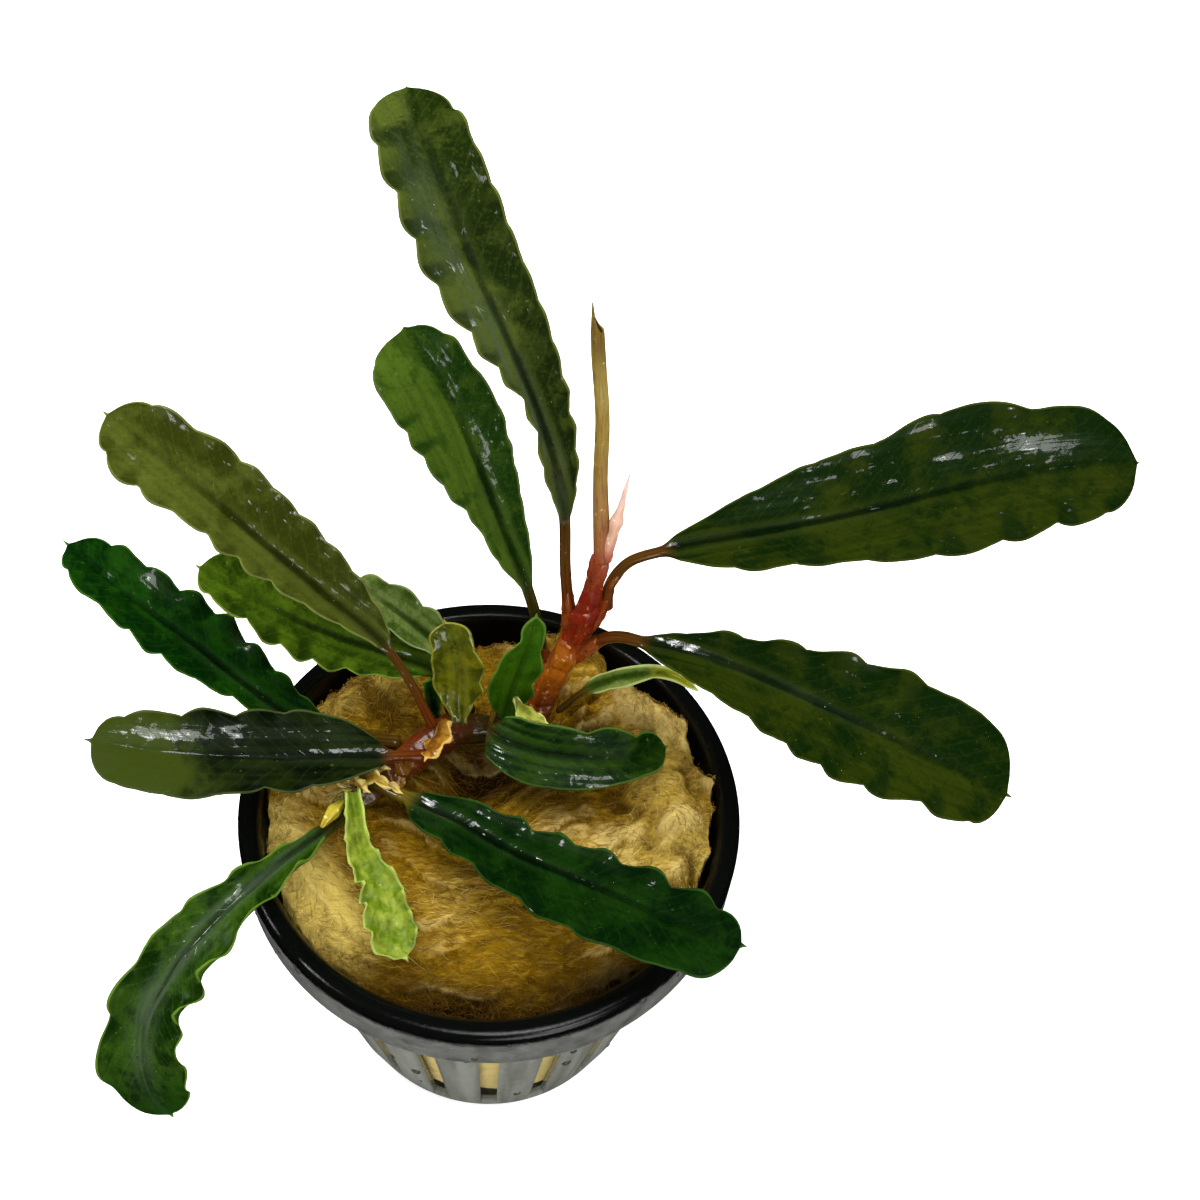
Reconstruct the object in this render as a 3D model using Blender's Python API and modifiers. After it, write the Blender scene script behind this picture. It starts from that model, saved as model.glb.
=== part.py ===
"""Bucephalandra growing in a small black net pot filled with rockwool.

The pot stands on z = 0 with its axis on the world Z axis. Its front is towards -Y.
Sizes in the tables below are millimetres; MM turns them into metres.
"""
import math
from typing import NamedTuple

import bmesh
import bpy
import numpy
from mathutils import Vector

MM = 0.001
GAP = 0.3                     # clearance between pieces that touch

# Net pot
POT_HEIGHT = 45.0
RIM_RADIUS = 28.0
SKIRT_HEIGHT = 6.0            # the folded rim hangs this far down outside
BASE_RADIUS = 18.8
WALL_TOP_RADIUS = 25.6        # outside of the wall at the skirt's lower edge
WALL = 1.0
FLOOR_DISC_RADIUS = 6.5
FLOOR_SLOT_END = 15.0
SLOT_COUNT = 20
SLOT_SHARE = 0.37             # part of each pitch that is open
SLOT_FOOT = 2.0
SLOT_HEAD = 39.5              # just behind the skirt's lower edge

# Rockwool plug
WOOL_TOP = 44.5
WOOL_SHOULDER = 34.0          # below this the wool follows the pot's wall
WOOL_EDGE_DROP = 4.0
WOOL_SECTORS = 32
WOOL_RINGS = (0.25, 0.48, 0.68, 0.84, 0.94, 1.0)

# Leaves and stems
SAMPLES_PER_LEG = 16          # of a smooth line, between two of its points
LEAF_THICKNESS = 0.6
PETIOLE_STATIONS = 4
STATIONS_PER_WAVE = 3.4
ACROSS = (-1.0, -0.55, 0.0, 0.55, 1.0)
TIP_SPUR = 1.0                # the pointed tip stands this far past the blade


class Lump(NamedTuple):
    """A rise or a dip of the wool: place, height and spread."""
    x: float
    y: float
    height: float
    spread: float


WOOL_LUMPS = (
    Lump(19.0, 0.5, 3.0, 5.0),
    Lump(20.6, -8.0, 2.0, 4.0),
    Lump(16.7, 14.0, 2.5, 4.5),
    Lump(8.1, 22.0, 4.0, 5.0),
    Lump(-14.3, 14.0, 3.0, 5.5),
    Lump(-20.4, -8.0, 1.5, 5.0),
    Lump(1.5, -10.0, 1.5, 8.0),
    Lump(-9.1, -22.0, -3.0, 7.0),
    Lump(6.9, -22.0, -3.0, 7.0),
    Lump(-1.9, 2.0, -3.0, 3.0),
    Lump(4.2, 5.0, -2.5, 3.0),
    Lump(6.0, 10.5, -3.4, 3.0),
)


class Leaf(NamedTuple):
    """One leaf with its petiole. Lengths are millimetres.

    The half widths are measured from the midrib at every sixth of the blade, from its base.
    """
    name: str
    spine: tuple              # from the rhizome to the tip, along the midrib
    blade: int                # the spine point where the blade begins
    facing: tuple             # directions of the right margin, evenly spread from base to tip
    left: tuple
    right: tuple
    colour: tuple
    tip_power: float = 2.6    # higher is blunter
    cup: float = 0.8          # margins above the midrib
    waves: tuple = (8, 9)     # along the left and the right margin
    ruffle: float = 0.6
    petiole: float = 0.6


DARK_GREEN = (0.012, 0.055, 0.010)
GREEN = (0.030, 0.075, 0.018)
OLIVE = (0.055, 0.075, 0.015)
LIGHT_GREEN = (0.060, 0.130, 0.020)
YELLOW_GREEN = (0.330, 0.520, 0.070)
AMBER = (0.600, 0.260, 0.040)

LEAVES = (
    Leaf("leaf_tall_back",
         ((8.7, 14.5, 60.7), (8.2, 16, 66), (8, 17.8, 71), (6.8, 17.5, 79), (4.4, 18.5, 87),
          (1.3, 20, 95), (-1.6, 22.3, 101), (-4, 25.5, 106.5), (-6.3, 30.5, 110),
          (-7.5, 34.6, 111)), 2,
         ((1.01, 0.1, 0), (0.92, 0.4, 0)),
         (0.6, 1.4, 1.0, 2.9, 4.4, 4.8), (0.6, 2.2, 3.4, 4.1, 4.4, 4.1), OLIVE,
         tip_power=3.2, waves=(9, 9)),
    Leaf("leaf_upright_back",
         ((6.3, 14.1, 51), (5.7, 14.5, 56), (4.2, 15.1, 63), (1.8, 16.4, 70), (-0.8, 18.2, 78),
          (-3.3, 20.5, 84), (-5.8, 23, 88), (-8.4, 26.4, 90)), 2,
         ((1.01, 0.2, 0), (0.82, 0.5, 0.1)),
         (0.5, 1.9, 2.6, 4.3, 5.4, 6.1), (0.6, 2.0, 2.8, 3.6, 4.2, 3.6), DARK_GREEN,
         waves=(7, 7)),
    Leaf("leaf_upper_right",
         ((12.8, 14.0, 61.9), (13.0, 14.2, 65.0), (14.7, 14.8, 67.7), (18.5, 15.4, 69),
          (25.2, 15.4, 71), (33, 15.2, 73.5),
          (42.2, 15.9, 76), (51.8, 17, 78.3), (58.2, 17.4, 79.5), (65.2, 17.5, 80)), 3,
         ((-0.03, -0.9, -0.3), (-0.02, -0.9, -0.4)),
         (0.9, 3.8, 6.1, 6.9, 8.4, 6.5), (1.1, 4.0, 4.9, 6.5, 7.0, 6.1), GREEN,
         waves=(7, 8), petiole=0.55),
    Leaf("leaf_lower_right",
         ((11.3, 12.1, 56.6), (12.5, 11.9, 58.3), (14.5, 11.1, 59.7), (16.6, 10.2, 60),
          (22.3, 7.2, 61.7), (28.1, 3.6, 62.6),
          (33.7, -0.1, 63), (39.1, -3.5, 63), (44.6, -6.7, 62.5), (51.5, -9.8, 61)), 3,
         ((-0.53, -0.9, -0.2), (-0.43, -0.9, -0.2)),
         (0.8, 2.6, 4.2, 6.0, 7.0, 6.8), (1.0, 3.5, 4.9, 6.3, 6.8, 5.3), GREEN,
         tip_power=3.2, waves=(6, 9), petiole=0.6),
    Leaf("leaf_small_right",
         ((8.4, 10.2, 47.5), (10.8, 10.8, 50), (15.2, 10.6, 53), (19.9, 10.3, 54),
          (23.6, 9.3, 52)), 1,
         ((0.19, -0.8, -0.5), (0.19, -0.8, -0.5)),
         (0.6, 1.0, 1.1, 0.9, 0.7, 0.6), (0.6, 1.1, 1.2, 0.9, 0.7, 0.6), LIGHT_GREEN,
         waves=(2, 2), ruffle=0.2, cup=0.4, petiole=0.45),
    Leaf("leaf_small_centre",
         ((1.8, 9.5, 46.8), (2.3, 10, 49), (3.6, 10.8, 55), (4.7, 11.7, 58.5), (5.2, 12.6, 62)), 0,
         ((1.01, 0, -0.2), (1.02, 0.2, -0.2)),
         (1.0, 2.5, 3.0, 2.9, 2.4, 1.5), (0.9, 1.8, 2.3, 2.3, 1.9, 1.3), LIGHT_GREEN,
         tip_power=1.5, cup=0.5, waves=(3, 3), ruffle=0.3),
    Leaf("leaf_curled_centre",
         ((0.5, 7.6, 49.9), (0.2, 5.0, 50.9), (4.4, 2.0, 51.6), (9.8, 1, 51.5), (15.4, 1.3, 51),
          (19.9, 3.4, 50)), 1,
         ((-0.41, -0.9, -0.6), (-0.01, -0.9, -0.6), (0.29, -0.9, -0.6)),
         (1.9, 3.0, 3.0, 2.9, 3.2, 2.4), (2.0, 3.3, 3.8, 3.6, 3.1, 2.3), DARK_GREEN,
         waves=(3, 3), ruffle=0.4, petiole=0.7),
    Leaf("leaf_upper_left",
         ((-6.4, 6.2, 50.4), (-8.9, 8.4, 56), (-10.9, 9.9, 59), (-17, 11.3, 66.5),
          (-23.6, 12.9, 74), (-28.8, 14.9, 79), (-33.8, 16.8, 83), (-37.8, 19.2, 85.5)), 2,
         ((0.71, 0.6, 0.3), (0.71, 0.6, 0.3)),
         (0.6, 1.6, 2.5, 3.2, 3.4, 4.0), (0.9, 3.2, 4.4, 4.9, 5.1, 4.5), OLIVE,
         waves=(9, 9), petiole=0.5),
    Leaf("leaf_far_left",
         ((-10.6, 4.5, 49.1), (-16.8, 5.5, 49.2), (-22.2, 7, 50.5), (-27.3, 9.1, 54),
          (-31.7, 11.2, 57.5), (-37.7, 14.2, 61), (-43.8, 18.1, 64), (-46.8, 20.5, 65)), 1,
         ((0.34, 0.9, 0.1), (0.44, 0.9, 0.1)),
         (0.7, 1.8, 2.6, 3.8, 3.8, 3.2), (0.8, 2.9, 3.9, 4.6, 4.3, 3.8), DARK_GREEN,
         waves=(8, 8)),
    Leaf("leaf_behind_left",
         ((-4.1, 8.7, 48.9), (-6.1, 12.6, 51), (-11.1, 13.7, 53), (-17.7, 13.9, 56.5),
          (-22.9, 14.4, 60), (-27.6, 15.3, 63), (-31.8, 16.9, 65)), 1,
         ((0.23, 0.9, 0.3), (0.23, 0.9, 0.3)),
         (1.0, 2.8, 3.6, 4.2, 4.0, 2.8), (1.0, 3.4, 4.2, 4.6, 4.5, 3.8), LIGHT_GREEN,
         waves=(7, 7), ruffle=0.4),
    Leaf("leaf_hidden_left",
         ((-2.4, 9, 49.2), (-4.4, 13.2, 53), (-9.1, 16, 56.5), (-12.6, 17.6, 58.5),
          (-15.4, 19.2, 60)), 1,
         ((0.53, 0.8, 0.2), (0.53, 0.8, 0.2)),
         (0.7, 1.8, 2.4, 2.6, 2.5, 2.0), (0.7, 1.8, 2.4, 2.6, 2.5, 2.0), LIGHT_GREEN,
         waves=(3, 3), ruffle=0.3),
    Leaf("leaf_small_left",
         ((-3.3, 7, 50.4), (-3.3, 8.2, 52.5), (-3.3, 9.3, 57), (-4.2, 10.3, 61),
          (-4.8, 11, 63)), 0,
         ((1, 0, 0), (1, 0, 0)),
         (0.9, 1.9, 2.8, 2.9, 2.7, 2.3), (0.9, 1.9, 2.6, 2.7, 2.6, 2.3), OLIVE,
         waves=(3, 3), ruffle=0.4),
    Leaf("leaf_bud_left",
         ((-6, 8.1, 49.4), (-6.3, 8.9, 52), (-6.5, 9.6, 54.6)), 0,
         ((1, 0, 0), (1, 0, 0)),
         (0.4, 0.8, 1.0, 1.1, 1.0, 0.8), (0.4, 0.8, 1.0, 1.1, 1.0, 0.8), DARK_GREEN,
         waves=(1, 1), ruffle=0.1, cup=0.3, petiole=0.4),
    Leaf("leaf_front_left",
         ((-7.6, 2.1, 50), (-10.8, 1.4, 51), (-16, 0.5, 52.5), (-24.6, -1.2, 55),
          (-34.4, -1.9, 57), (-41.9, -1.6, 59)), 1,
         ((-0.07, 0.9, 0.3), (-0.07, 0.9, 0.3)),
         (0.9, 2.9, 3.9, 4.0, 4.9, 4.4), (1.2, 4.0, 4.9, 4.7, 4.6, 3.8), DARK_GREEN,
         waves=(6, 6), ruffle=0.35, petiole=0.55),
    Leaf("sheath_scrap",
         ((-5, 5.2, 51), (-5.9, 2.6, 51.8), (-7, 0.4, 51.4)), 0,
         ((0.85, -0.3, 0.5), (0.85, -0.3, 0.5)),
         (0.8, 1.3, 1.6, 1.6, 1.4, 1.1), (0.8, 1.2, 1.4, 1.4, 1.2, 0.9), AMBER,
         cup=0.7, waves=(2, 2), ruffle=0.3, petiole=0.4),
    Leaf("leaf_drooping",
         ((-15.2, -3.5, 47.2), (-17.3, -6.2, 48.3), (-21.1, -11.2, 51), (-24.8, -15.8, 52),
          (-28.4, -18.9, 50.3), (-31.9, -22, 47), (-34.4, -24.8, 43), (-35.1, -27.5, 39.5),
          (-34.4, -29.9, 36), (-32.8, -31.5, 33)), 1,
         ((-0.67, 0.6, 0), (-0.67, 0.6, 0), (-0.77, 0.5, 0), (-0.93, 0.1, -0.2)),
         (0.5, 2.3, 2.9, 4.0, 4.2, 5.2), (1.0, 1.2, 2.6, 3.7, 4.1, 5.3), DARK_GREEN,
         waves=(9, 8), ruffle=0.8),
    Leaf("leaf_new",
         ((-14.6, -1.6, 48), (-14.6, -3, 49.7), (-14.3, -4.8, 49.8), (-13.8, -8.1, 49.5),
          (-12.7, -10.9, 49.3), (-11.6, -13.1, 49.1), (-10.7, -15.8, 48.8), (-9.9, -17.8, 48.4),
          (-9.1, -19.4, 47.9), (-8.1, -20.8, 47.4)), 0,
         ((-1, 0, 0), (-0.92, -0.4, 0)),
         (0.5, 1.0, 1.2, 1.6, 2.5, 2.6), (0.5, 1.0, 1.4, 1.9, 2.3, 2.7), YELLOW_GREEN,
         tip_power=3.2, waves=(5, 5), ruffle=0.5, petiole=0.5),
    Leaf("leaf_front_right",
         ((-12.3, -0.5, 49), (-10.8, -1.8, 49.3), (-8.3, -3.5, 50), (-3.1, -7.3, 52),
          (2.5, -12, 54), (8, -15.6, 55.5), (13.2, -18.6, 56.5), (17.6, -21.2, 57),
          (24.3, -23.9, 57.5)), 2,
         ((-0.53, -0.8, -0.1), (-0.43, -0.8, -0.1)),
         (1.2, 2.5, 3.1, 3.4, 3.6, 3.6), (2.0, 3.2, 3.9, 5.0, 5.4, 4.8), DARK_GREEN,
         waves=(7, 7), petiole=0.7),
)


class Stem(NamedTuple):
    """A round stem: a smooth line through the points, with a radius at each."""
    name: str
    points: tuple
    radii: tuple
    colour: tuple
    stations: int = 9


STEMS = (
    Stem("rhizome_right",
         ((5.2, 10.0, 43), (6.7, 11.7, 49), (8, 12.3, 53), (9.3, 12.8, 57), (10.6, 13, 62),
          (11.5, 13.8, 67), (11.9, 14.3, 70)),
         (1.25, 1.5, 1.6, 1.55, 1.35, 1.05, 0.85), (0.300, 0.045, 0.012)),
    Stem("rhizome_left",
         ((-15.7, -2.2, 46.1), (-11.6, 1.2, 46.8), (-7.5, 4.4, 48), (-4.1, 6.6, 48.4),
          (-0.3, 7.3, 47.4), (2.3, 7.8, 46)),
         (1.2, 1.7, 1.9, 2.0, 1.5, 1.0), (0.230, 0.090, 0.020)),
    Stem("cut_petiole",
         ((12, 14.5, 70.5), (11.2, 16.1, 79), (10.9, 16.3, 87), (9.9, 16, 96),
          (9.3, 15.2, 102)),
         (0.9, 0.75, 0.7, 0.65, 0.25), (0.330, 0.210, 0.100), 6),
    Stem("pink_bud",
         ((13.2, 13.2, 70), (13.6, 14.1, 76), (14.1, 14.8, 81)),
         (0.6, 0.5, 0.15), (0.700, 0.250, 0.200), 4),
    Stem("yellow_sheath",
         ((-15.9, -3.9, 49.5), (-16.5, -5.2, 50.3), (-17.3, -6.7, 50.8)),
         (0.5, 0.7, 0.5), (0.600, 0.420, 0.060), 4),
)


def pot_collection(name):
    """A new collection for the object's parts."""
    collection = bpy.data.collections.new(name)
    bpy.context.scene.collection.children.link(collection)
    return collection


def surface_material(name, colour, roughness, metallic=0.0):
    material = bpy.data.materials.new(name)
    material.use_nodes = True
    shader = material.node_tree.nodes["Principled BSDF"]
    shader.inputs["Base Color"].default_value = (*colour, 1.0)
    shader.inputs["Roughness"].default_value = roughness
    shader.inputs["Metallic"].default_value = metallic
    material.diffuse_color = (*colour, 1.0)
    return material


def add_mesh(collection, name, vertices, faces, material, smooth_angle=40.0):
    """A mesh object from points in millimetres, with its faces turned outwards."""
    mesh = bpy.data.meshes.new(name)
    mesh.from_pydata([Vector(v) * MM for v in vertices], [], faces)
    body = bmesh.new()
    body.from_mesh(mesh)
    bmesh.ops.recalc_face_normals(body, faces=body.faces)
    body.to_mesh(mesh)
    body.free()
    mesh.shade_smooth()
    mesh.set_sharp_from_angle(angle=math.radians(smooth_angle))
    mesh.materials.append(material)
    placed = bpy.data.objects.new(name, mesh)
    collection.objects.link(placed)
    return placed


def smooth_path(points):
    """Closely spaced samples of a smooth curve through the points."""
    p = numpy.array(points, float)
    lengths = numpy.linalg.norm(numpy.diff(p, axis=0), axis=1)
    slopes = numpy.diff(p, axis=0) / lengths[:, None]
    tangents = numpy.empty_like(p)
    tangents[0] = slopes[0]
    tangents[-1] = slopes[-1]
    for i in range(1, len(p) - 1):
        before, after = lengths[i - 1], lengths[i]
        tangents[i] = (slopes[i - 1] * after + slopes[i] * before) / (before + after)
    samples = []
    for i, length in enumerate(lengths):
        u = numpy.linspace(0, 1, SAMPLES_PER_LEG, endpoint=False)[:, None]
        start = (1 + 2 * u) * (1 - u) ** 2
        leave = u * (1 - u) ** 2 * length
        end = u ** 2 * (3 - 2 * u)
        arrive = u ** 2 * (u - 1) * length
        samples.append(start * p[i] + leave * tangents[i] + end * p[i + 1]
                       + arrive * tangents[i + 1])
    return numpy.vstack([*samples, p[-1:]])


def distances_along(path):
    steps = numpy.linalg.norm(numpy.diff(path, axis=0), axis=1)
    return numpy.concatenate([[0.0], numpy.cumsum(steps)])


def read_path(path, distances, at):
    """The path's points at the given distances along it."""
    return numpy.stack([numpy.interp(at, distances, path[:, axis]) for axis in range(3)], axis=1)


def unit(vectors):
    return vectors / numpy.linalg.norm(vectors, axis=-1, keepdims=True)


def blade_width(half_widths, tip_power, t):
    """Half width of one side of the blade at t, 0 at its base and 1 at its tip."""
    last = len(half_widths) - 1
    slopes = numpy.gradient(half_widths)
    sixth = numpy.clip(numpy.asarray(t) * 6, 0, last)
    i = numpy.minimum(sixth.astype(int), last - 1)
    u = sixth - i
    width = ((1 + 2 * u) * (1 - u) ** 2 * numpy.take(half_widths, i)
             + u * (1 - u) ** 2 * slopes[i]
             + u ** 2 * (3 - 2 * u) * numpy.take(half_widths, i + 1)
             + u ** 2 * (u - 1) * slopes[i + 1])
    beyond = numpy.clip((t - last / 6) / (1 - last / 6), 0, 1)
    return width * numpy.sqrt(1 - beyond ** tip_power)


def margin_wave(leaf, t, side):
    """Phase of the ruffle along one margin; side is 0 for the left and 1 for the right."""
    drift = 0.12 * math.sin(5.0 * t + 2.0 * side + leaf.left[2])
    return 2 * math.pi * (leaf.waves[side] * t + drift) + 1.3 * side


def leaf_rings(leaf, blade_stations, across):
    """Rings of points around the leaf: the upper face left to right, then back underneath."""
    path = smooth_path(leaf.spine)
    distances = distances_along(path)
    blade_from = distances[leaf.blade * SAMPLES_PER_LEG]
    blade_length = distances[-1] - blade_from - TIP_SPUR
    u = numpy.linspace(0, 1, blade_stations + 1)[:-1]
    t = 1 - (1 - u) ** 1.25
    at = blade_from + t * blade_length
    if leaf.blade > 0:
        petiole_at = numpy.linspace(0, blade_from, PETIOLE_STATIONS + 1)[:-1]
        at = numpy.concatenate([petiole_at, at])
        t = numpy.concatenate([numpy.zeros(PETIOLE_STATIONS), t])
    centres = read_path(path, distances, at)
    tangents = unit(read_path(numpy.gradient(path, axis=0), distances, at))
    spread = numpy.linspace(0, distances[-1], len(leaf.facing))
    rightward = read_path(numpy.array(leaf.facing, float), spread, at)
    rightward = unit(rightward - (rightward * tangents).sum(axis=1, keepdims=True) * tangents)
    upward = numpy.cross(rightward, tangents)

    half = [numpy.maximum(blade_width(widths, leaf.tip_power, t),
                          numpy.where(t < 0.5, leaf.petiole, 0.0))
            for widths in (leaf.left, leaf.right)]
    half = [numpy.where(at < blade_from, leaf.petiole, side) for side in half]
    thin = LEAF_THICKNESS / 2
    thick = thin + (leaf.petiole - thin) * numpy.exp(-t / 0.1)
    ruffle = leaf.ruffle * numpy.clip(t / 0.3, 0, 1) * numpy.clip((1 - t) / 0.08, 0, 1)
    cup = leaf.cup * numpy.clip(t / 0.2, 0, 1) * numpy.clip((1 - t) / 0.2, 0, 1)

    rings = []
    for k in range(len(at)):
        upper, lower = [], []
        for v in across:
            side = 1 if v > 0 else 0
            wave = margin_wave(leaf, t[k], side)
            reach = half[side][k] * v * (1 + 0.08 * ruffle[k] * math.cos(wave))
            lift = cup[k] * abs(v) ** 1.6 + ruffle[k] * abs(v) ** 3 * math.sin(wave)
            depth = thick[k] * math.sqrt(1 - abs(v) ** 3)
            middle = centres[k] + reach * rightward[k] + lift * upward[k]
            upper.append(middle + depth * upward[k])
            lower.append(middle - depth * upward[k])
        rings.append(upper + lower[-2:0:-1])
    return rings, path[-1]


def close_rings(rings, tip):
    """Vertices and faces of a body through the rings, ending at the tip point.

    The second half of each ring runs back under the first, so its triangles are mirrored:
    both faces of a thin blade then bend along the same lines and never cross.
    """
    around = len(rings[0])
    vertices = [tuple(point) for ring in rings for point in ring]
    faces = [tuple(range(around))]
    for k in range(len(rings) - 1):
        for i in range(around):
            j = (i + 1) % around
            near_i, near_j = k * around + i, k * around + j
            far_i, far_j = near_i + around, near_j + around
            if i < around // 2:
                faces += [(near_i, far_i, far_j), (near_i, far_j, near_j)]
            else:
                faces += [(near_i, far_i, near_j), (far_i, far_j, near_j)]
    last = (len(rings) - 1) * around
    vertices.append(tuple(tip))
    for i in range(around):
        faces.append((last + i, len(vertices) - 1, last + (i + 1) % around))
    return vertices, faces


def add_leaf(collection, leaf):
    stations = max(6, round(STATIONS_PER_WAVE * max(leaf.waves)))
    rings, tip = leaf_rings(leaf, stations, ACROSS)
    vertices, faces = close_rings(rings, tip)
    add_mesh(collection, leaf.name, vertices, faces,
             surface_material(leaf.name, leaf.colour, 0.35))


def add_stem(collection, stem):
    """A stem as a bevelled curve whose radius follows the stem's radii."""
    path = smooth_path(stem.points)
    distances = distances_along(path)
    at = numpy.linspace(0, distances[-1], stem.stations)
    points = read_path(path, distances, at)
    radii = numpy.interp(at, distances[::SAMPLES_PER_LEG], stem.radii)
    curve = bpy.data.curves.new(stem.name, "CURVE")
    curve.dimensions = "3D"
    curve.bevel_depth = MM
    curve.bevel_resolution = 2
    curve.use_fill_caps = True
    spline = curve.splines.new("POLY")
    spline.points.add(len(points) - 1)
    for spot, point, radius in zip(spline.points, points, radii):
        spot.co = (*(point * MM), 1.0)
        spot.radius = radius
    curve.materials.append(surface_material(stem.name, stem.colour, 0.3))
    placed = bpy.data.objects.new(stem.name, curve)
    collection.objects.link(placed)


def wall_radius(z):
    """Outside radius of the pot's wall at a height."""
    slope = (WALL_TOP_RADIUS - BASE_RADIUS) / (POT_HEIGHT - SKIRT_HEIGHT)
    return BASE_RADIUS + slope * z


def add_pot(collection):
    """The net pot: a slotted wall and floor with a folded rim, as one sheet given thickness."""
    middle = WALL / 2
    top = POT_HEIGHT - middle
    profile = [(FLOOR_DISC_RADIUS, middle), (FLOOR_SLOT_END, middle),
               (BASE_RADIUS - middle, middle)]
    profile += [(wall_radius(z) - middle, z) for z in (SLOT_FOOT, SLOT_HEAD, top)]
    profile += [(RIM_RADIUS - middle, top), (RIM_RADIUS - middle, POT_HEIGHT - SKIRT_HEIGHT)]
    slotted_legs = (0, 3)

    pitch = 2 * math.pi / SLOT_COUNT
    open_half = pitch * SLOT_SHARE / 2
    front = -math.pi / 2
    angles = []
    for slot in range(SLOT_COUNT):
        angles += [front + slot * pitch - open_half, front + slot * pitch + open_half]

    sheet = bmesh.new()
    rows = [[sheet.verts.new(Vector((r * math.cos(a), r * math.sin(a), z)) * MM) for a in angles]
            for r, z in profile]
    sheet.faces.new(rows[0])
    for leg in range(len(profile) - 1):
        for i in range(len(angles)):
            if leg in slotted_legs and i % 2 == 0:
                continue
            j = (i + 1) % len(angles)
            sheet.faces.new((rows[leg][i], rows[leg + 1][i], rows[leg + 1][j], rows[leg][j]))
    bmesh.ops.recalc_face_normals(sheet, faces=sheet.faces)
    mesh = bpy.data.meshes.new("net_pot")
    sheet.to_mesh(mesh)
    sheet.free()
    mesh.materials.append(surface_material("net_pot", (0.020, 0.021, 0.021), 0.35))
    pot = bpy.data.objects.new("net_pot", mesh)
    collection.objects.link(pot)
    thickness = pot.modifiers.new("wall thickness", "SOLIDIFY")
    thickness.thickness = WALL * MM
    thickness.offset = 0.0
    thickness.use_even_offset = True


def wool_height(x, y):
    """Height of the wool's upper face, before it falls off at the edge."""
    height = WOOL_TOP
    for lump in WOOL_LUMPS:
        away = ((x - lump.x) ** 2 + (y - lump.y) ** 2) / lump.spread ** 2
        height += lump.height * math.exp(-away)
    return height


def wool_outline(angle):
    """Radius of the wool's upper edge at an angle."""
    return 23.8 + 0.3 * math.sin(3 * angle + 1) + 0.2 * math.sin(7 * angle)


def add_wool(collection):
    """The rockwool plug: it fills the pot, and its top is a field of soft lumps."""
    floor = WALL + GAP
    bottom_radius = wall_radius(floor) - WALL - GAP - 0.8
    vertices = [(0, 0, floor)]
    rows = []

    def add_row(radius_at, height_at):
        row = []
        for i in range(WOOL_SECTORS):
            angle = 2 * math.pi * i / WOOL_SECTORS
            radius = radius_at(angle)
            x, y = radius * math.cos(angle), radius * math.sin(angle)
            row.append(len(vertices))
            vertices.append((x, y, height_at(x, y)))
        rows.append(row)

    add_row(lambda a: bottom_radius, lambda x, y: floor)
    add_row(lambda a: wall_radius(WOOL_SHOULDER) - WALL - GAP - 0.2,
            lambda x, y: WOOL_SHOULDER)
    for share in reversed(WOOL_RINGS):
        drop = WOOL_EDGE_DROP * share ** 12
        add_row(lambda a: wool_outline(a) * share, lambda x, y: wool_height(x, y) - drop)
    centre = len(vertices)
    vertices.append((0, 0, wool_height(0, 0)))

    faces = []
    for i in range(WOOL_SECTORS):
        j = (i + 1) % WOOL_SECTORS
        faces.append((0, rows[0][j], rows[0][i]))
        for lower, upper in zip(rows, rows[1:]):
            faces.append((lower[i], lower[j], upper[j], upper[i]))
        faces.append((rows[-1][i], rows[-1][j], centre))
    add_mesh(collection, "rockwool", vertices, faces,
             surface_material("rockwool", (0.420, 0.270, 0.070), 0.95), 80.0)


def main():
    for old in list(bpy.data.objects):
        bpy.data.objects.remove(old, do_unlink=True)
    collection = pot_collection("bucephalandra")
    add_pot(collection)
    add_wool(collection)
    for stem in STEMS:
        add_stem(collection, stem)
    for leaf in LEAVES:
        add_leaf(collection, leaf)


main()
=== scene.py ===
"""The looks of a bucephalandra in a black net pot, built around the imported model.

The pot stands on z = 0 with its axis on the world Z axis and its front towards -Y.
Sizes are millimetres unless a comment says otherwise; MM turns them into metres.
"""
import math
from typing import NamedTuple

import bmesh
import bpy
import numpy as np
from mathutils import Matrix, Vector


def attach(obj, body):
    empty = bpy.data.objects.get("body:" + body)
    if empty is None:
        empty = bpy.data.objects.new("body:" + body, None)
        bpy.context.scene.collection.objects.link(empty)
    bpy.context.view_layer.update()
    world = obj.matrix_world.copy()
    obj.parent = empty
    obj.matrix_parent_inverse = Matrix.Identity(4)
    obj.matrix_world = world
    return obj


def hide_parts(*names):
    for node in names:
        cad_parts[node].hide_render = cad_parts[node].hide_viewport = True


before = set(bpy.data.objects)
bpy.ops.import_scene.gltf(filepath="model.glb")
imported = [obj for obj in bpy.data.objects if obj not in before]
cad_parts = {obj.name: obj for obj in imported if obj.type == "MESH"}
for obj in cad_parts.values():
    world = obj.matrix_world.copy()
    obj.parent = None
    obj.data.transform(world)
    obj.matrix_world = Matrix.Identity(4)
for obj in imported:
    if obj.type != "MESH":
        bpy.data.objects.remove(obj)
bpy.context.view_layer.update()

MM = 0.001

# Net pot
POT_HEIGHT = 45.0
RIM_RADIUS = 28.0
SKIRT_HEIGHT = 6.0
BASE_RADIUS = 18.8
WALL_TOP_RADIUS = 25.6
WALL = 1.0
FLOOR_DISC_RADIUS = 6.5
FLOOR_SLOT_END = 15.0
SLOT_COUNT = 20
SLOT_SHARE = 0.37
SLOT_FOOT = 2.0
SLOT_HEAD = 39.5

# Rockwool plug
WOOL_TOP = 44.5
WOOL_SECTORS = 372
WOOL_RINGS = 145
LAYER_CENTRE = (-2.0, 14.0)   # the wool's layers curve around this point

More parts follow.
